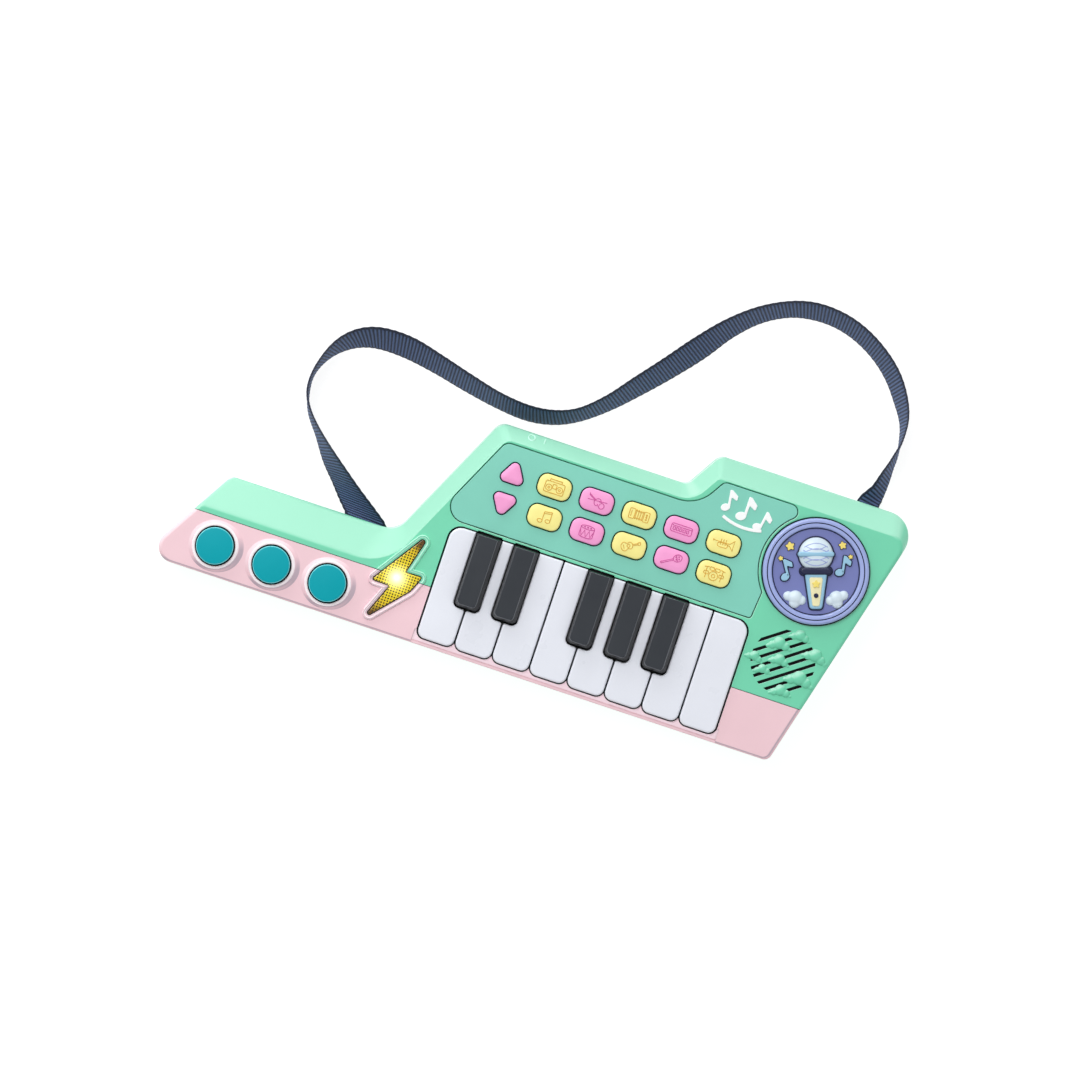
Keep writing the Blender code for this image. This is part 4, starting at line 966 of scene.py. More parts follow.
def front_casing():
    """The whole front moulding before it is parted: sloped band, hollow, bosses and openings."""
    rings = [(rounded(inset(BODY, [0.3] * len(BODY))), Z_SPLIT + GAP)]
    rings += [(rounded(roof_corners(share, z)), z) for share, z in band_profile()]
    casing = loft(*rings)
    low_roof = rounded(shrink(roof_corners(0.0, Z_SHOULDER - 4), 0.9))
    high_roof = rounded(shrink(roof_corners(1.0, Z_FACE - 3), 0.9))
    inner_roof = loft((low_roof, 2.0), (low_roof, Z_SHOULDER - WALL - 0.4), (high_roof, Z_UNDER_FACE))
    hollow = common(prism(rounded(shrink(BODY, WALL)), 5.0, Z_UNDER_FACE), inner_roof)
    hollow = cut(hollow, grouped(*[prism(circle(x, y, 3.5, 24), 0.0, Z_FACE + 5) for x, y in SCREWS]))
    casing = joined(casing, grouped(*[neck_mound(x) for x in NECK_BUTTONS_X]), bolt_bezel())
    casing = cut(casing, hollow)
    rim_left, rim_right, front = KEYS_LEFT - 1.6, KEYS_RIGHT + 1.6, BODY[0][1]
    rim = block(rim_left, rim_right, front - 5, KEYS_FRONT + CUSP_REACH, Z_FACE - RIM_DROP, Z_FACE + 5)
    line = block(rim_left, rim_right, front + 1.7, front + 2.05, Z_FACE - 2 * RIM_DROP, Z_FACE + 5)
    casing = cut(casing, rim)
    pierced = [opening(key_opening, lip=0.3), opening(swell(panel_outline(), GAP), lip=0.7),
               opening(circle(*MEDALLION, MEDALLION_RADIUS + 0.6, 96), lip=0.5),
               opening(bolt_outline(LENS_CLEARANCE), lip=0.2, top=Z_COLLAR - 0.3),
               block(SWITCH_X - 4.0, SWITCH_X + SWITCH_TRAVEL + 4.0, 50.0, 60.0, 16.9, 21.7)]
    pierced += [opening(circle(x, NECK_BUTTONS_Y, NECK_OPENING_RADIUS, 96), lip=0.5, top=Z_COLLAR + 0.25)
                for x in NECK_BUTTONS_X]
    pierced += [prism(circle(x, y, 1.8, 12), 10.0, 24.0) for x, y in SCREWS]
    casing = cut(casing, grouped(*pierced, *grille_slots()))
    return cut(casing, line, *rear_notches())


def casing_paint(centre, normal):
    """Raised edges and the rim by the keys are paler: painted highlight. Walls of openings: painted shade."""
    x, y, z = centre
    to_button = min(math.hypot(x - button, y - NECK_BUTTONS_Y) for button in NECK_BUTTONS_X)
    # Painted highlight on the neck buttons' collars and on the lens bezel's steep faces.
    if z > Z_FACE + 0.3 and (to_button < COLLAR_RADIUS + 0.15 or to_button > 25 and normal.z < 0.9):
        return 1
    # Painted shade on the walls of openings: dark mint from the panel's lower edge up, near-black below it.
    if z < Z_FACE - 0.2 and normal.z < 0.6 and x > NECK_BUTTONS_X[0] - 16.7 and inside_casing(centre):
        return 3 if y > PANEL_BOTTOM - 1 else 2
    # Painted highlight on the top of the rim in front of the keys.
    under_keys = BODY[0][1] + 2 < y < KEYS_FRONT + CUSP_REACH and KEYS_LEFT - 1 < x < KEYS_RIGHT + 1
    return 3 * (under_keys and normal.z > 0.9)


def inside_casing(centre):
    """Whether a point lies well inside the body's outline, as the walls of openings do."""
    outline = inset(BODY, [width + 2.4 for width in BAND])
    inside = False
    for k, (x, y, _) in enumerate(outline):
        px, py, _ = outline[k - 1]
        if (y > centre.y) != (py > centre.y) and centre.x < (px - x) * (centre.y - y) / (py - y) + x:
            inside = not inside
    return inside


def build_casing():
    middle, far = GAP / 2, 90.0
    for name, slot, plastic_slot, surfaces, low, high in (
            ("upper_casing", "upper_shell", "mint_plastic", ["mint", "mint_lip", "dark", "groove"],
             Y_COLOUR_SPLIT + middle, far),
            ("lower_casing", "lower_fascia", "pink_plastic", ["pink", "pink_highlight", "dark", "pink_rim_highlight"],
             -far, Y_COLOUR_SPLIT - middle)):
        half = common(front_casing(), block(-220.0, 220.0, low, high, 0.0, 60.0))
        finish(name, half, surfaces, replaces=[slot], rule=casing_paint)
    finish("rear_casing", rear_casing(), ["mint"], replaces=["rear_shell"])
    # The panel's sides below the face are painted dark mint, as shade in its seam.
    finish("button_panel", control_panel(), ["panel", "groove"], replaces=["control_panel"],
           rule=lambda centre, normal: int(centre.z < Z_FACE - 0.4))
    bottom, top = Z_UNDER_FACE - 0.45, Z_UNDER_FACE - 0.2
    cover = turned(*SPEAKER, [(0, bottom), (19.4, bottom), (19.4, top), (0, top)])
    finish("speaker_cloth", cover, "cloth")


def rear_casing():
    """Tray-shaped rear half with rounded edges, screw wells and grip grooves."""
    count = len(BODY)
    soft = 3.0
    rings = [(rounded(inset(BODY, [soft * (1 - math.sin(a))] * count)), soft * (1 - math.cos(a)))
             for a in quarter(6)]
    rings += [(rounded(BODY), Z_SPLIT - 0.3), (rounded(inset(BODY, [0.3] * count)), Z_SPLIT)]
    shell = cut(loft(*rings), prism(rounded(shrink(BODY, WALL)), WALL, Z_SPLIT + 5))
    posts = [prism(circle(x, y, 4.6, 24), 1.0, Z_SPLIT - GAP) for x, y in SCREWS]
    anchors = [strap_anchor(STRAP_LEFT[1][0] + 0.5, STRAP_LEFT[0][1] - 2.5, STRAP_WIDTH),
               strap_anchor(STRAP_RIGHT[1][0], STRAP_RIGHT[1][1] - 2.5, STRAP_FOLDED_WIDTH)]
    shell = joined(shell, grouped(*posts), grouped(*anchors))
    wells = [screw_well(x, y, 4.0, 3.2, 0.7, 5.0) for x, y in SCREWS]
    shanks = [prism(circle(x, y, 1.8, 12), 4.0, Z_SPLIT + 5) for x, y in SCREWS]
    slots = [strap_slot(STRAP_LEFT[1][0] - 0.9, STRAP_WIDTH, -26.0, -18.0),
             strap_slot(STRAP_RIGHT[0][0] + 0.3, STRAP_FOLDED_WIDTH, 73.0, 80.0)]
    hole = loft((door_outline(GAP + 0.5), -1.0), (door_outline(GAP + 0.5), 0.0), (door_outline(GAP), 0.5),
                (door_outline(GAP), WALL + 1))
    ribs = grip_grooves((-150.0, -105.0), -47.0, 5)
    return cut(shell, grouped(*wells, *slots), grouped(*shanks), hole, grouped(*ribs))


def screw_well(x, y, mouth, bore, flare, depth):
    """Cutter for a screw's well in the back: a mouth that narrows over a flare to its bore."""
    return loft(*[(circle(x, y, radius, 36), z)
                  for radius, z in ((mouth, -1.0), (mouth, 0.0), (bore, flare), (bore, depth))])


def grip_grooves(span, y, count):
    """Shallow rounded grooves across the back, as finger grip on the neck."""
    grooves = []
    for k in range(count):
        x = span[0] + (span[1] - span[0]) * k / (count - 1)
        outline = rounded(rectangle(x - 1.3, x + 1.3, y - 13.0, y + 13.0, 1.25), 22.5)
        grooves.append(loft((swell(outline, 0.5), -1.0), (swell(outline, 0.5), 0.0), (outline, 0.6),
                            (swell(outline, -0.5), 0.8)))
    return grooves


def strap_slot(x, width, y0, y1):
    half = width / 2 + STRAP_SLOT_MARGIN
    return block(x - half, x + half, y0, y1, Z_STRAP - 2.7, Z_STRAP + 2.7)


def strap_anchor(x, y, width):
    """Staple that holds an end of the webbing: a bar on two legs."""
    half = width / 2 + 2.5
    legs = [block(x + side * half - 1.5, x + side * half + 1.5, y - 2.5, y + 2.5, 1.0, 12.5)
            for side in (-1, 1)]
    return joined(rod_along_x(x - half, x + half, y, Z_STRAP, 2.0), *legs)


def door_outline(margin):
    """The battery door's outline, moved outwards by a margin."""
    x0, x1, y0, y1 = DOOR
    ex0, _, ey0, ey1 = DOOR_EAR
    return moulded([(ex0, ey0, 2.0), (x0, ey0, 0.6), (x0, y0, 2.0), (x1, y0, 2.0), (x1, y1, 2.0),
                    (x0, y1, 2.0), (x0, ey1, 0.6), (ex0, ey1, 2.0)])(-margin)


def battery_door():
    """Flat lid with a rounded edge, a ribbed thumb field and a screw well in its ear."""
    door = loft((door_outline(-0.5), 0.0), (door_outline(-0.15), 0.15), (door_outline(0.0), 0.5),
                (door_outline(0.0), 1.9))
    x, y = DOOR_SCREW
    ribs = []
    for k in range(7):
        rib_x = DOOR[1] - 6.0 - 2.2 * k
        bar = rounded(rectangle(rib_x - 0.45, rib_x + 0.45, 24.0, 40.0, 0.4), 45.0)
        ribs.append(loft((swell(bar, 0.3), -1.0), (swell(bar, 0.3), 0.0), (bar, 0.5)))
    shank = prism(circle(x, y, 1.7, 24), 0.5, 5.0)
    return cut(door, screw_well(x, y, 3.3, 2.9, 0.4, 1.2), shank, grouped(*ribs))


def control_panel():
    outline = panel_outline()
    panel = loft((outline, Z_UNDER_FACE), (outline, Z_PANEL - 0.4), (swell(outline, -0.12), Z_PANEL - 0.12),
                 (swell(outline, -0.4), Z_PANEL))
    for x, y in ((0.0, PANEL_TOP_LEFT), (50.0, PANEL_TOP_LEFT), (112.0, PANEL_TOP_RIGHT)):
        tab = block(x - 5, x + 5, y - 4, y + 1.1, 30.8, 32.6)
        root = block(x - 5, x + 5, y - 4, y - 2.5, 31.3, Z_FACE - 1)
        panel = joined(panel, tab, root)
    holes = [button_corners(x, y) for y in BUTTON_ROWS for x in BUTTON_COLUMNS]
    holes += [volume_corners(*span) for span in (VOLUME_UP_Y, VOLUME_DOWN_Y)]
    cutters = [opening(moulded(hole)(-BUTTON_CLEARANCE), lip=0.3, low=25.0, top=Z_PANEL) for hole in holes]
    return cut(panel, grouped(*cutters))


# ---- keys ----------------------------------------------------------------------------------------
def white_key(index):
    """Hollow key with softly rounded edges and the tail that turns on the pivot rod."""
    left = KEYS_LEFT + index * KEY_PITCH + KEY_GAP / 2
    right = left + KEY_PITCH - KEY_GAP
    notch = BLACK_WIDTH / 2 + 0.5 - KEY_GAP / 2
    notch_y = BLACK_FRONT - 1.0
    right_cut, left_cut = (index + 1) in BLACK_GAPS, index in BLACK_GAPS
    corners = [(left, KEY_FRONT, KEY_CORNER_RADIUS), (right, KEY_FRONT, KEY_CORNER_RADIUS)]
    rear_right, rear_left = right - notch * right_cut, left + notch * left_cut
    if right_cut:
        corners += [(right, notch_y, 1.2), (rear_right, notch_y, 3.2)]
    corners.append((rear_right, KEY_REAR, 7.0 if index == KEY_COUNT - 1 else 0.5))
    corners.append((rear_left, KEY_REAR, 7.0 if index == 0 else 0.5))
    if left_cut:
        corners += [(rear_left, notch_y, 3.2), (left, notch_y, 1.2)]
    outline = moulded(corners)
    key = soft_top(outline, Z_KEY_BOTTOM, Z_WHITE, 1.1)
    hollow = prism(outline(KEY_WALL), Z_KEY_BOTTOM - 1, Z_WHITE - 2)
    middle = (left + right) / 2
    plunger = block(middle - 1.5, middle + 1.5, -60.0, -56.0, Z_PLUNGER, Z_WHITE - 1)
    return with_tail(cut(key, hollow), rear_left + 0.2, rear_right - 0.2, plunger)


def black_key(gap):
    """Hollow key whose top is drawn in by its slopes, softly rounded where they meet it."""
    middle = KEYS_LEFT + gap * KEY_PITCH
    half = BLACK_WIDTH / 2
    corners = rectangle(middle - half, middle + half, BLACK_FRONT, KEY_REAR)
    for index in (0, 1):
        corners[index] = corners[index][:2] + (3.0,)

    def ring(share, extra=0.0):
        distances = [width * share + extra for width in BLACK_SLOPES]
        return rounded(inset(corners, distances, [-0.6 * share, -0.6 * share, 0.0, 0.0]), 11.25)

    rings = [(ring(0.0), Z_KEY_BOTTOM), (ring(0.0), Z_BLACK_SHOULDER), (ring(0.05), Z_BLACK_SHOULDER + 0.7),
             (ring(0.86), Z_BLACK - 0.9)]
    rings += [(ring(0.86 + 0.14 * t, 0.5 * t * t), Z_BLACK - 0.9 * (1 - t) ** 2)
              for t in (0.25, 0.5, 0.75, 1.0)]
    inner = rounded(shrink(corners, KEY_WALL), 30.0)
    hollow_top = rounded(shrink(inset(corners, [3.2, 2.4, 1.1, 2.4]), KEY_WALL), 30.0)
    hollow = loft((inner, Z_KEY_BOTTOM - 1), (inner, Z_BLACK_SHOULDER - 1), (hollow_top, Z_BLACK - 2.2))
    plunger = block(middle - 1.5, middle + 1.5, -42.0, -38.0, Z_PLUNGER, Z_BLACK - 1)
    return with_tail(cut(loft(*rings), hollow), middle - 6.3, middle + 6.3, plunger)


def with_tail(key, left, right, plunger):
    key = joined(key, plunger, block(left, right, *KEY_TAIL))
    return cut(key, rod_along_x(left - 2, right + 2, PIVOT_Y, PIVOT_Z, PIVOT_HOLE_RADIUS))


def black_key_paint(centre, normal):
    """Dark grey top with a painted highlight at its edge; the sides are painted near-black as shade."""
    if centre.z < Z_BLACK - 0.8 or normal.z < 0.45:
        return 1
    return 2 * (normal.z < 0.86)


def build_keys():
    for index in range(KEY_COUNT):
        name = f"white_key_{index + 1}"
        finish(f"{name}_moulding", white_key(index), "white", name, [name])
    for number, gap in enumerate(BLACK_GAPS, 1):
        name = f"black_key_{number}"
        finish(f"{name}_moulding", black_key(gap), ["black", "black_shade", "black_highlight"], name, [name],
               black_key_paint)


# ---- buttons -------------------------------------------------------------------------------------
def button_corners(x, y):
    width, height = BUTTON_SIZE
    return rectangle(x - width / 2, x + width / 2, y - height / 2, y + height / 2, BUTTON_RADIUS)


def volume_corners(base, apex):
    overshoot = VOLUME_RADIUS * 0.9 * math.copysign(1, apex - base)
    half = VOLUME_WIDTH / 2
    corners = [(VOLUME_X - half, base, VOLUME_RADIUS), (VOLUME_X + half, base, VOLUME_RADIUS),
               (VOLUME_X, apex + overshoot, VOLUME_RADIUS)]
    return corners if apex > base else corners[::-1]


def cap_button(corners, crown_width):
    """Moulded button with a soft edge, a slight crown and a retaining flange."""
    outline = moulded(corners, 9.0)
    cap = soft_top(outline, 32.7, Z_BUTTON_TOP + 0.25, 0.9, crown=0.3, crown_width=crown_width)
    return joined(cap, prism(outline(-1.2), 31.6, 33.2))


def button_paint(centre, normal):
    """The moulded top is in the button's colour; its sides are painted dark, as shade of the gap round it."""
    return int(centre.z < Z_BUTTON_TOP - 0.62)


def build_buttons():
    number = 0
    for y in BUTTON_ROWS:
        for column, x in enumerate(BUTTON_COLUMNS):
            number += 1
            name = f"instrument_button_{number}"
            # Each button's sides take a dark tone that is painted shade of the gap round it.
            colour, edge, line = (("yellow", "yellow_gap_shade", "orange_line"),
                                  ("pink_button", "pink_gap_shade", "magenta_line"))[column % 2]
            finish(f"{name}_cap", cap_button(button_corners(x, y), 3.4), [colour, edge], name, [name],
                   button_paint)
            strokes = turned_strokes(ICONS[number - 1], 0.0, centre=(x, y))
            finish(f"{name}_icon", wires(strokes, Z_BUTTON_TOP + 0.2, 0.24, 0.3), line, name)
    for name, span in (("volume_up_button", VOLUME_UP_Y), ("volume_down_button", VOLUME_DOWN_Y)):
        finish(f"{name}_cap", cap_button(volume_corners(*span), 2.2), ["pink_button", "pink_gap_shade"], name,
               [name], button_paint)
    for number, x in enumerate(NECK_BUTTONS_X, 1):
        name = f"neck_button_{number}"
        # The sides below the collar are painted in shadow colour; the top's rounded edge, a painted
        # highlight.
        finish(f"{name}_cap", neck_button(x), ["teal", "dark", "teal_highlight"], name, [name],
               lambda centre, normal: 1 if centre.z < 38.6 else 2 * (0.4 < normal.z < 0.8))


def neck_button(x):
    radius = NECK_BUTTON_RADIUS
    edge = [(radius - 0.9 + 0.9 * math.cos(a), 39.9 + 0.9 * math.sin(a)) for a in quarter(6)]
    crown = [(radius - 0.9 - 9.6 * k / 6, 40.8 + 0.35 * (1 - (1 - k / 6) ** 2)) for k in range(1, 6)]
    return turned(x, NECK_BUTTONS_Y, [(0, 31.7), (12.2, 31.7), (12.2, 33.4), (radius, 33.4)] + edge + crown +
                  [(0, 41.2)], 96)


# Icons: strokes of (points, closed) in millimetres from the button's centre.
def ring(x, y, radius, sides=16):
    return circle(x, y, radius, sides), True


def pill(x0, x1, y0, y1, radius):
    return rounded(rectangle(x0, x1, y0, y1, radius), 30.0), True


def stroke(*points):
    return list(points), False


def turned_strokes(strokes, turn, size=1.0, centre=(0.0, 0.0)):
    return [(placed(points, centre, turn, size), closed) for points, closed in strokes]


def bow_body(waist=1.5, lower=2.6, upper=2.0, length=6.4):
    """Outline of a violin or guitar body that lies along +X."""
    half = length / 2
    points = []
    for t in around(28):
        x = half * math.cos(t)
        share = (x + half) / length
        width = lower + (upper - lower) * share - (lower - waist) * math.exp(-((share - 0.56) / 0.16) ** 2)
        points.append((x, width * math.sin(t) * (1.25 - 0.25 * abs(math.sin(t)))))
    return points, True


def boombox():
    return [pill(-5.6, 5.6, -3.6, 2.7, 0.9), ring(-3.1, -0.9, 1.75), ring(3.1, -0.9, 1.75),
            ring(-3.1, -0.9, 0.6, 8), ring(3.1, -0.9, 0.6, 8), pill(-1.1, 1.1, -0.9, 1.5, 0.3),
            stroke((-3.4, 2.7), (-3.4, 4.0), (3.4, 4.0), (3.4, 2.7))]


def violin():
    body = turned_strokes([bow_body()], 0.0, centre=(2.0, 0.0))
    rest = [stroke((-1.2, 0.25), (-5.6, 0.25), (-6.2, 0.6)), stroke((-1.2, -0.25), (-5.6, -0.25)),
            stroke((2.4, -0.7), (2.4, 0.7)), stroke((1.2, 1.0), (1.8, 0.9)), stroke((1.2, -1.0), (1.8, -0.9)),
            stroke((-4.6, -2.6), (4.8, 3.6))]
    return turned_strokes(body + rest, math.radians(-30.0))


def accordion():
    folds = [(-2.6 + 0.65 * k, 1.9 + 0.75 * (k % 2)) for k in range(9)]
    under = [(x, -y + 0.2) for x, y in folds]
    pleats = [stroke((-1.95 + 1.3 * k, -2.2), (-1.95 + 1.3 * k, 2.4)) for k in range(4)]
    return [pill(-5.7, -2.6, -2.7, 2.9, 0.6), pill(2.6, 5.7, -2.7, 2.9, 0.6), stroke(*folds),
            stroke(*under), *pleats, stroke((-4.6, -1.6), (-4.6, 1.8)),
            *[ring(4.2, y, 0.4, 8) for y in (1.3, 0.0, -1.3)]]


def harmonica():
    cells = [pill(-4.7 + 1.95 * k, -3.5 + 1.95 * k, -1.3, 0.3, 0.2) for k in range(5)]
    return [pill(-6.0, 6.0, -2.3, 2.3, 1.0), stroke((-5.6, 1.1), (5.6, 1.1)), *cells]


def trumpet():
    bell = stroke((1.8, 0.5), (3.6, 0.9), (5.6, 3.0), (5.6, -2.6), (3.6, -0.5), (1.8, -0.2))
    loop = pill(-3.4, 2.4, -2.3, 0.2, 1.2)
    valves = [stroke((-1.8 + 1.4 * k, -1.0), (-1.8 + 1.4 * k, 2.3)) for k in range(3)]
    return [bell, loop, stroke((-5.9, 0.5), (1.8, 0.5)), stroke((-6.1, 0.0), (-6.1, 1.0)), *valves]


def drum():
    top, below = ellipse(0.0, 2.3, 3.9, 1.1, 20), ellipse(0.0, -2.6, 3.9, 1.1, 20)
    base = below[10:] + below[:1]
    lacing = [(-3.9 + 7.8 * k / 6, (-2.6 if k % 2 else 0.9) - 0.5 * math.sin(math.pi * k / 6))
              for k in range(7)]
    dots = [ring(-1.8 + 1.8 * k, 2.3, 0.3, 6) for k in range(3)]
    return [(top, True), (base, False), stroke((-3.9, 2.3), (-3.9, -2.6)), stroke((3.9, 2.3), (3.9, -2.6)),
            stroke(*lacing), *dots]


def guitar():
    body = turned_strokes([bow_body(2.0, 3.2, 2.5, 7.4)], 0.0, centre=(-1.4, 0.0))
    return turned_strokes(body + [ring(-0.4, 0.0, 0.95, 12), stroke((-3.4, -1.2), (-3.4, 1.2)),
                                  stroke((2.3, 0.4), (5.6, 0.4)), stroke((2.3, -0.4), (5.6, -0.4)),
                                  pill(5.6, 7.2, -0.8, 0.8, 0.3)], math.radians(28.0), 0.9)


def maraca():
    dots = [ring(3.6 + 1.1 * math.cos(a + 0.6), 0.9 * math.sin(a + 0.6), 0.26, 6) for a in around(4)]
    strokes = [(ellipse(3.6, 0.0, 2.5, 2.0, 20), True), pill(-6.2, 1.1, -0.42, 0.42, 0.4), *dots,
               stroke((3.2, -1.9), (3.2, 1.9))]
    return turned_strokes(strokes, math.radians(30.0))


def drum_kit():
    """Bass drum between a left half and its mirror image."""
    half = [(-2.9, -0.3, 1.6, 3.3, 0.5), (-5.7, -3.1, -1.2, 0.5, 0.4)]
    mirrored = [(-x1, -x0, y0, y1, radius) for x0, x1, y0, y1, radius in half]
    drums = [pill(*sizes) for sizes in half + mirrored]
    stands = [stroke((side * x0, y0), (side * x1, y1)) for side in (-1, 1)
              for x0, y0, x1, y1 in ((6.0, 2.6, 3.4, 3.2), (4.7, 2.9, 4.4, -3.4))]
    return [ring(0.0, -1.3, 2.5, 22), ring(0.0, -1.3, 1.0, 10), *drums, *stands]


def music_note():
    lines = ((-0.9, -2.2, -0.9, 3.2), (3.5, -1.5, 3.5, 3.9), (-0.9, 3.2, 3.5, 3.9), (-0.9, 2.2, 3.5, 2.9))
    heads = [(ellipse(x, y, 1.35, 1.0, 16), True) for x, y in ((-2.2, -2.3), (2.2, -1.6))]
    return [stroke((x0, y0), (x1, y1)) for x0, y0, x1, y1 in lines] + heads


ICONS = [boombox(), violin(), accordion(), harmonica(), trumpet(), music_note(), drum(), guitar(), maraca(),
         drum_kit()]


# ---- medallion -----------------------------------------------------------------------------------
def medallion_disc():
    """Round button: flange, rim with two rounded steps, and a shallow dish."""
    outer, dish = MEDALLION_RADIUS, DISH_RADIUS
    profile = [(0, 31.0), (outer + 1.4, 31.0), (outer + 1.4, 33.3), (outer, 33.3)]
    profile += [(outer - 1.5 + 1.5 * math.cos(a), 38.1 + 1.5 * math.sin(a)) for a in quarter(7)]
    profile += [(outer - 2.3, 39.55), (outer - 2.6, 39.2), (outer - 2.9, 39.55), (dish + 0.9, 39.55),
                (dish + 0.35, 39.3), (dish, 38.8), (dish - 0.2, Z_DISH + 0.4), (dish - 0.7, Z_DISH + 0.05),
                (0, Z_DISH)]
    return turned(*MEDALLION, profile, 128)


def relief(name, outline, z1, surface, radius=0.5, crown=0.0, crown_width=0.0):
    """Raised shape on the medallion; outline(d), moved inwards by d, is in the emblem's own upright axes."""
    made = soft_top(lambda distance: placed(outline(distance), MEDALLION, VIEW_TURN), Z_DISH - 0.3, z1,
                    radius, 3, crown, crown_width)
    return finish(name, made, surface, "medallion_button")


def medallion_paint(centre, normal):
    away = math.hypot(centre.x - MEDALLION[0], centre.y - MEDALLION[1])
    # Painted shade: the sides in the gap round the disc are navy.
    if centre.z < 37.2 and away > DISH_RADIUS + 1:
        return 2
    if DISH_RADIUS - 0.75 < away < DISH_RADIUS + 0.1 or abs(away - MEDALLION_RADIUS + 2.6) < 0.25:
        return 2
    return int(away < DISH_RADIUS)


def oval(x, y, width, height, turn=0.0):
    """Function of a distance that gives an upright or turned oval moved inwards by it."""
    return lambda distance: placed(ellipse(0.0, 0.0, width - distance, height - distance, 40), (x, y), turn)


def note_shapes(x, y, turn, size):
    """Head and stem with flag of a solid eighth note, as functions of a distance."""
    c, s = math.cos(turn) * size, math.sin(turn) * size
    stem = [(0.9, 0.0, 0.1), (2.1, 0.0, 0.1), (2.1, 5.0, 0.3), (4.9, 3.6, 0.5), (5.0, 6.0, 0.5),
            (2.1, 8.4, 0.5), (0.9, 8.4, 0.3)]
    stem = [(x + px * c - py * s, y + px * s + py * c, radius * size) for px, py, radius in stem]
    return oval(x, y, 2.2 * size, 1.7 * size, turn + 0.4), moulded(stem, 30.0)


def build_medallion():
    finish("medallion_cap", medallion_disc(), ["rim", "dish", "navy"], "medallion_button",
           ["medallion_button"], medallion_paint)
    body = moulded([(-3.4, -21.0, 1.8), (3.4, -21.0, 1.8), (6.4, -0.5, 1.2), (-6.4, -0.5, 1.2)])
    belly = moulded([(-2.0, -19.4, 1.2), (2.0, -19.4, 1.2), (3.9, -3.2, 1.2), (-3.9, -3.2, 1.2)])
    collar = moulded(rectangle(-8.8, 8.8, -1.8, 2.4, 2.0))
    head = oval(0.0, 9.6, 9.6, 9.6)
    band = moulded(rectangle(-10.2, 10.2, 8.3, 11.1, 1.3))
    for name, outline in (("mic_body", body), ("mic_collar", collar), ("mic_head", head), ("mic_band", band)):
        relief(f"{name}_outline", lambda distance, outline=outline: outline(distance - 0.8), Z_DISH + 0.9,
               "navy", 0.4)
    relief("mic_body", body, Z_DISH + 2.6, "sky", 1.1)
    relief("mic_belly", belly, Z_DISH + 3.1, "cream", 0.5)
    relief("mic_head", head, Z_DISH + 4.2, "pale", 1.8, 1.6, 6.0)
    relief("mic_collar", collar, Z_DISH + 3.6, "navy", 1.2)
    relief("mic_band", band, Z_DISH + 4.4, "sky", 0.9)
    mesh = []
    for lift in (-6.0, -3.0, 0.0, 3.0, 6.0):
        for bow in (-1, 1):
            arch = [(7.8 * t, lift + bow * 3.2 * (1 - t * t)) for t in [-1 + k / 12 for k in range(25)]]
            strand = [(x, y + 9.6) for x, y in arch if math.hypot(x, y) < 7.7]
            if len(strand) > 3:
                mesh.append((placed(strand, MEDALLION, VIEW_TURN), False))
    middle = Vector(placed([(0.0, 9.6)], MEDALLION, VIEW_TURN)[0])
    def dome(point):
        return Z_DISH + 4.15 - 1.6 * (max((point - middle).length - 1.8, 0.0) / 6.0) ** 2
    finish("mic_mesh", wires(mesh, dome, 0.24), "rim", "medallion_button")
    relief("mic_star", moulded(star_corners(5, 2.9, 0.5, (0.0, -7.0)), 45.0), Z_DISH + 3.9, "gold", 0.3)
    relief("mic_switch", oval(0.0, -13.4, 1.3, 1.3), Z_DISH + 3.9, "navy", 0.4)
    for name, x, y, turn in (("note_left", -17.2, -3.0, 0.25), ("note_right", 13.2, -0.5, -0.15)):
        for part, outline in zip(("head", "stem"), note_shapes(x, y, turn, 1.15)):
            relief(f"{name}_{part}_outline", lambda distance, outline=outline: outline(distance - 0.6),
                   Z_DISH + 0.8, "navy", 0.3)
            relief(f"{name}_{part}", outline, Z_DISH + 1.9, "sky", 0.4)
    for number, (x, y, size) in enumerate(((-14.4, 14.2, 3.2), (15.0, 14.6, 2.8), (-19.6, 7.4, 1.8),
                                           (19.4, 8.2, 1.7)), 1):
        for part, swollen, height, surface in (("_outline", 0.5, 0.7, "navy"), ("", 0.0, 1.6, "gold")):
            star = moulded(star_corners(5, size + swollen, 0.5, (x, y), 0.2), 45.0)
            relief(f"small_star_{number}{part}", star, Z_DISH + height, surface, 0.25)
    clouds = ([(-11.5, -14.6, 4.2), (-15.6, -13.6, 2.8), (-8.2, -16.0, 2.8), (-12.0, -17.4, 3.2)],
              [(11.5, -14.8, 4.2), (15.5, -13.4, 2.8), (8.2, -16.2, 2.8), (12.0, -17.6, 3.2)])
    for number, balls in enumerate(clouds, 1):
        spots = [placed([(x, y)], MEDALLION, VIEW_TURN)[0] + (radius,) for x, y, radius in balls]
        finish(f"emblem_cloud_{number}", puffs(spots, Z_DISH, 2.4), "pale", "medallion_button")


# ---- lens, grille clouds, marks and switch -------------------------------------------------------
def build_lens():
    lens = soft_top(lambda distance: bolt_outline(-distance), 32.4, 38.1, 0.6, 4)
    lens = joined(lens, prism(bolt_outline(LENS_FLANGE), 31.0, 33.4))
    finish("bolt_lens_cover", lens, ["lens", "lens_edge"], replaces=["bolt_lens"],
           rule=lambda centre, normal: int(normal.z < 0.75))


CLOUDS = [(158.0, -5.6, 1.0), (148.3, -13.5, 1.15), (137.1, -24.3, 0.9), (151.1, -22.0, 1.0),
          (143.7, -29.8, 0.85), (169.4, -13.9, 1.2), (164.9, -28.9, 1.35), (157.1, -38.3, 1.05)]


def build_clouds():
    shape = [(0.0, 1.0, 3.1), (-3.3, -0.5, 2.0), (3.1, -0.2, 2.2), (5.6, -1.3, 1.0), (-5.5, -1.3, 1.0)]
    for number, (x, y, size) in enumerate(CLOUDS, 1):
        balls = [placed([(bx, by)], (x, y), 0.12 * (number % 3 - 1), size)[0] + (radius * size,)
                 for bx, by, radius in shape]
        finish(f"grille_cloud_{number}", puffs(balls, Z_FACE - 0.1, 1.7 * size), "mint")


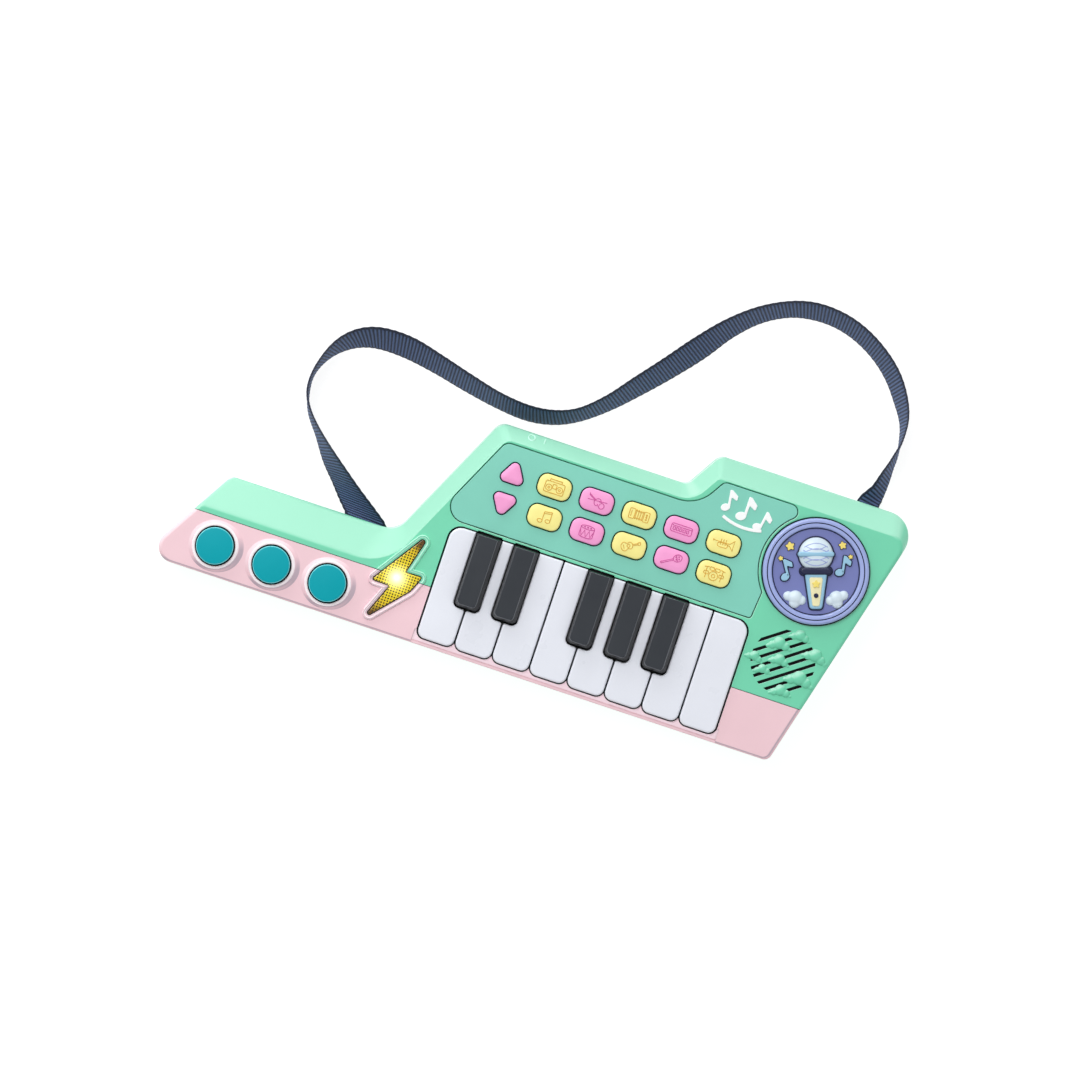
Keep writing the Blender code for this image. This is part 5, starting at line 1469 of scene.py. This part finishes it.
def build_marks():
    """White marks: three notes over a curved stave on the panel, and a ring and a bar beside the switch."""
    centre = (107.6, 50.6)
    shapes = []
    for x, y, turn, size in ((-12.0, -1.2, 0.2, 1.2), (-2.2, -2.6, 0.05, 1.4), (8.4, -4.8, -0.1, 1.2)):
        shapes += note_shapes(x, y, turn, size)

    def stave(distance):
        return (arc(0.0, 24.0, 33.2 - distance, 249.0, 291.0, 18) +
                arc(0.0, 24.0, 31.4 + distance, 291.0, 249.0, 18))

    shapes.append(stave)
    items = []
    for shape in shapes:
        items.append(soft_top(lambda distance, shape=shape: placed(shape(distance), centre, -0.06),
                              Z_PANEL - 0.2, Z_PANEL + 0.45, 0.25, 3))
    finish("panel_mark", joined(*items), "mark")
    slope = math.atan2(Z_FACE - Z_SHOULDER, BAND[4])
    signs = [grouped(wires([ring(0.0, 0.0, 1.9, 32)], 0.0, 0.34, 0.3)),
             wires([stroke((7.6, -1.7), (7.6, 1.7))], 0.0, 0.4, 0.3)]
    for name, sign in zip(("ring", "bar"), signs):
        sign.data.transform(Matrix.Translation(Vector((-19.4, 53.0, 28.35)) * MM) @
                            Matrix.Rotation(-slope, 4, "X") @ Matrix.Diagonal((1.0, 1.5, 1.0, 1.0)))
        finish(f"switch_mark_{name}", sign, "mint_lip")


def build_switch():
    """Slide knob with grip ribs, flush in its opening, on a plate that runs behind the wall."""
    plate = block(SWITCH_X - 5.5, SWITCH_X + 5.5, 50.6, 53.3, 16.2, 22.4)
    knob = block(SWITCH_X - 3.2, SWITCH_X + 3.2, 52.0, 55.6, 17.4, 21.2)
    ribs = [block(SWITCH_X + x - 0.35, SWITCH_X + x + 0.35, 55.0, 56.0, 17.0, 21.6)
            for x in (-2.2, -1.1, 0.0, 1.1, 2.2)]
    knob = cut(joined(plate, knob), grouped(*ribs))
    bevel = knob.modifiers.new("soft edges", "BEVEL")
    bevel.width = 0.15 * MM
    bevel.segments = 2
    bevel.limit_method = "ANGLE"
    finish("power_switch_knob", applied(knob), "black", "power_switch", ["power_switch"])


# ---- CAD pieces that keep their shape ------------------------------------------------------------
def dress_internals():
    """Give the inner pieces their finishes; their shapes stay the CAD model's."""
    # The key bed, seen in the gaps between the keys, gets the shadow colour as painted shade.
    slots = {"key_bed": "dark", "battery_tray": "inner", "key_board": "board", "main_board": "board",
             "neck_board": "board", "key_contact_pad": "silicone", "button_contact_pad": "silicone",
             "neck_contact_pad": "silicone", "speaker_frame": "speaker_steel", "speaker_cone": "cloth",
             "led_lamp": "white", "battery_cell_1": "cell", "battery_cell_2": "cell",
             "battery_cell_3": "cell"}
    for name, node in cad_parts.items():
        if not node.hide_render:
            surface = FINISHES[slots.get(name, "steel")]
            node.data.materials.clear()
            node.data.materials.append(surface)


FINISHES = make_finishes()
make_camera()
make_studio()
shoulder_strap()
build_casing()
build_keys()
build_buttons()
build_medallion()
build_lens()
build_clouds()
build_marks()
build_switch()
finish("battery_lid", battery_door(), "mint", "battery_door", ["battery_door"])
dress_internals()
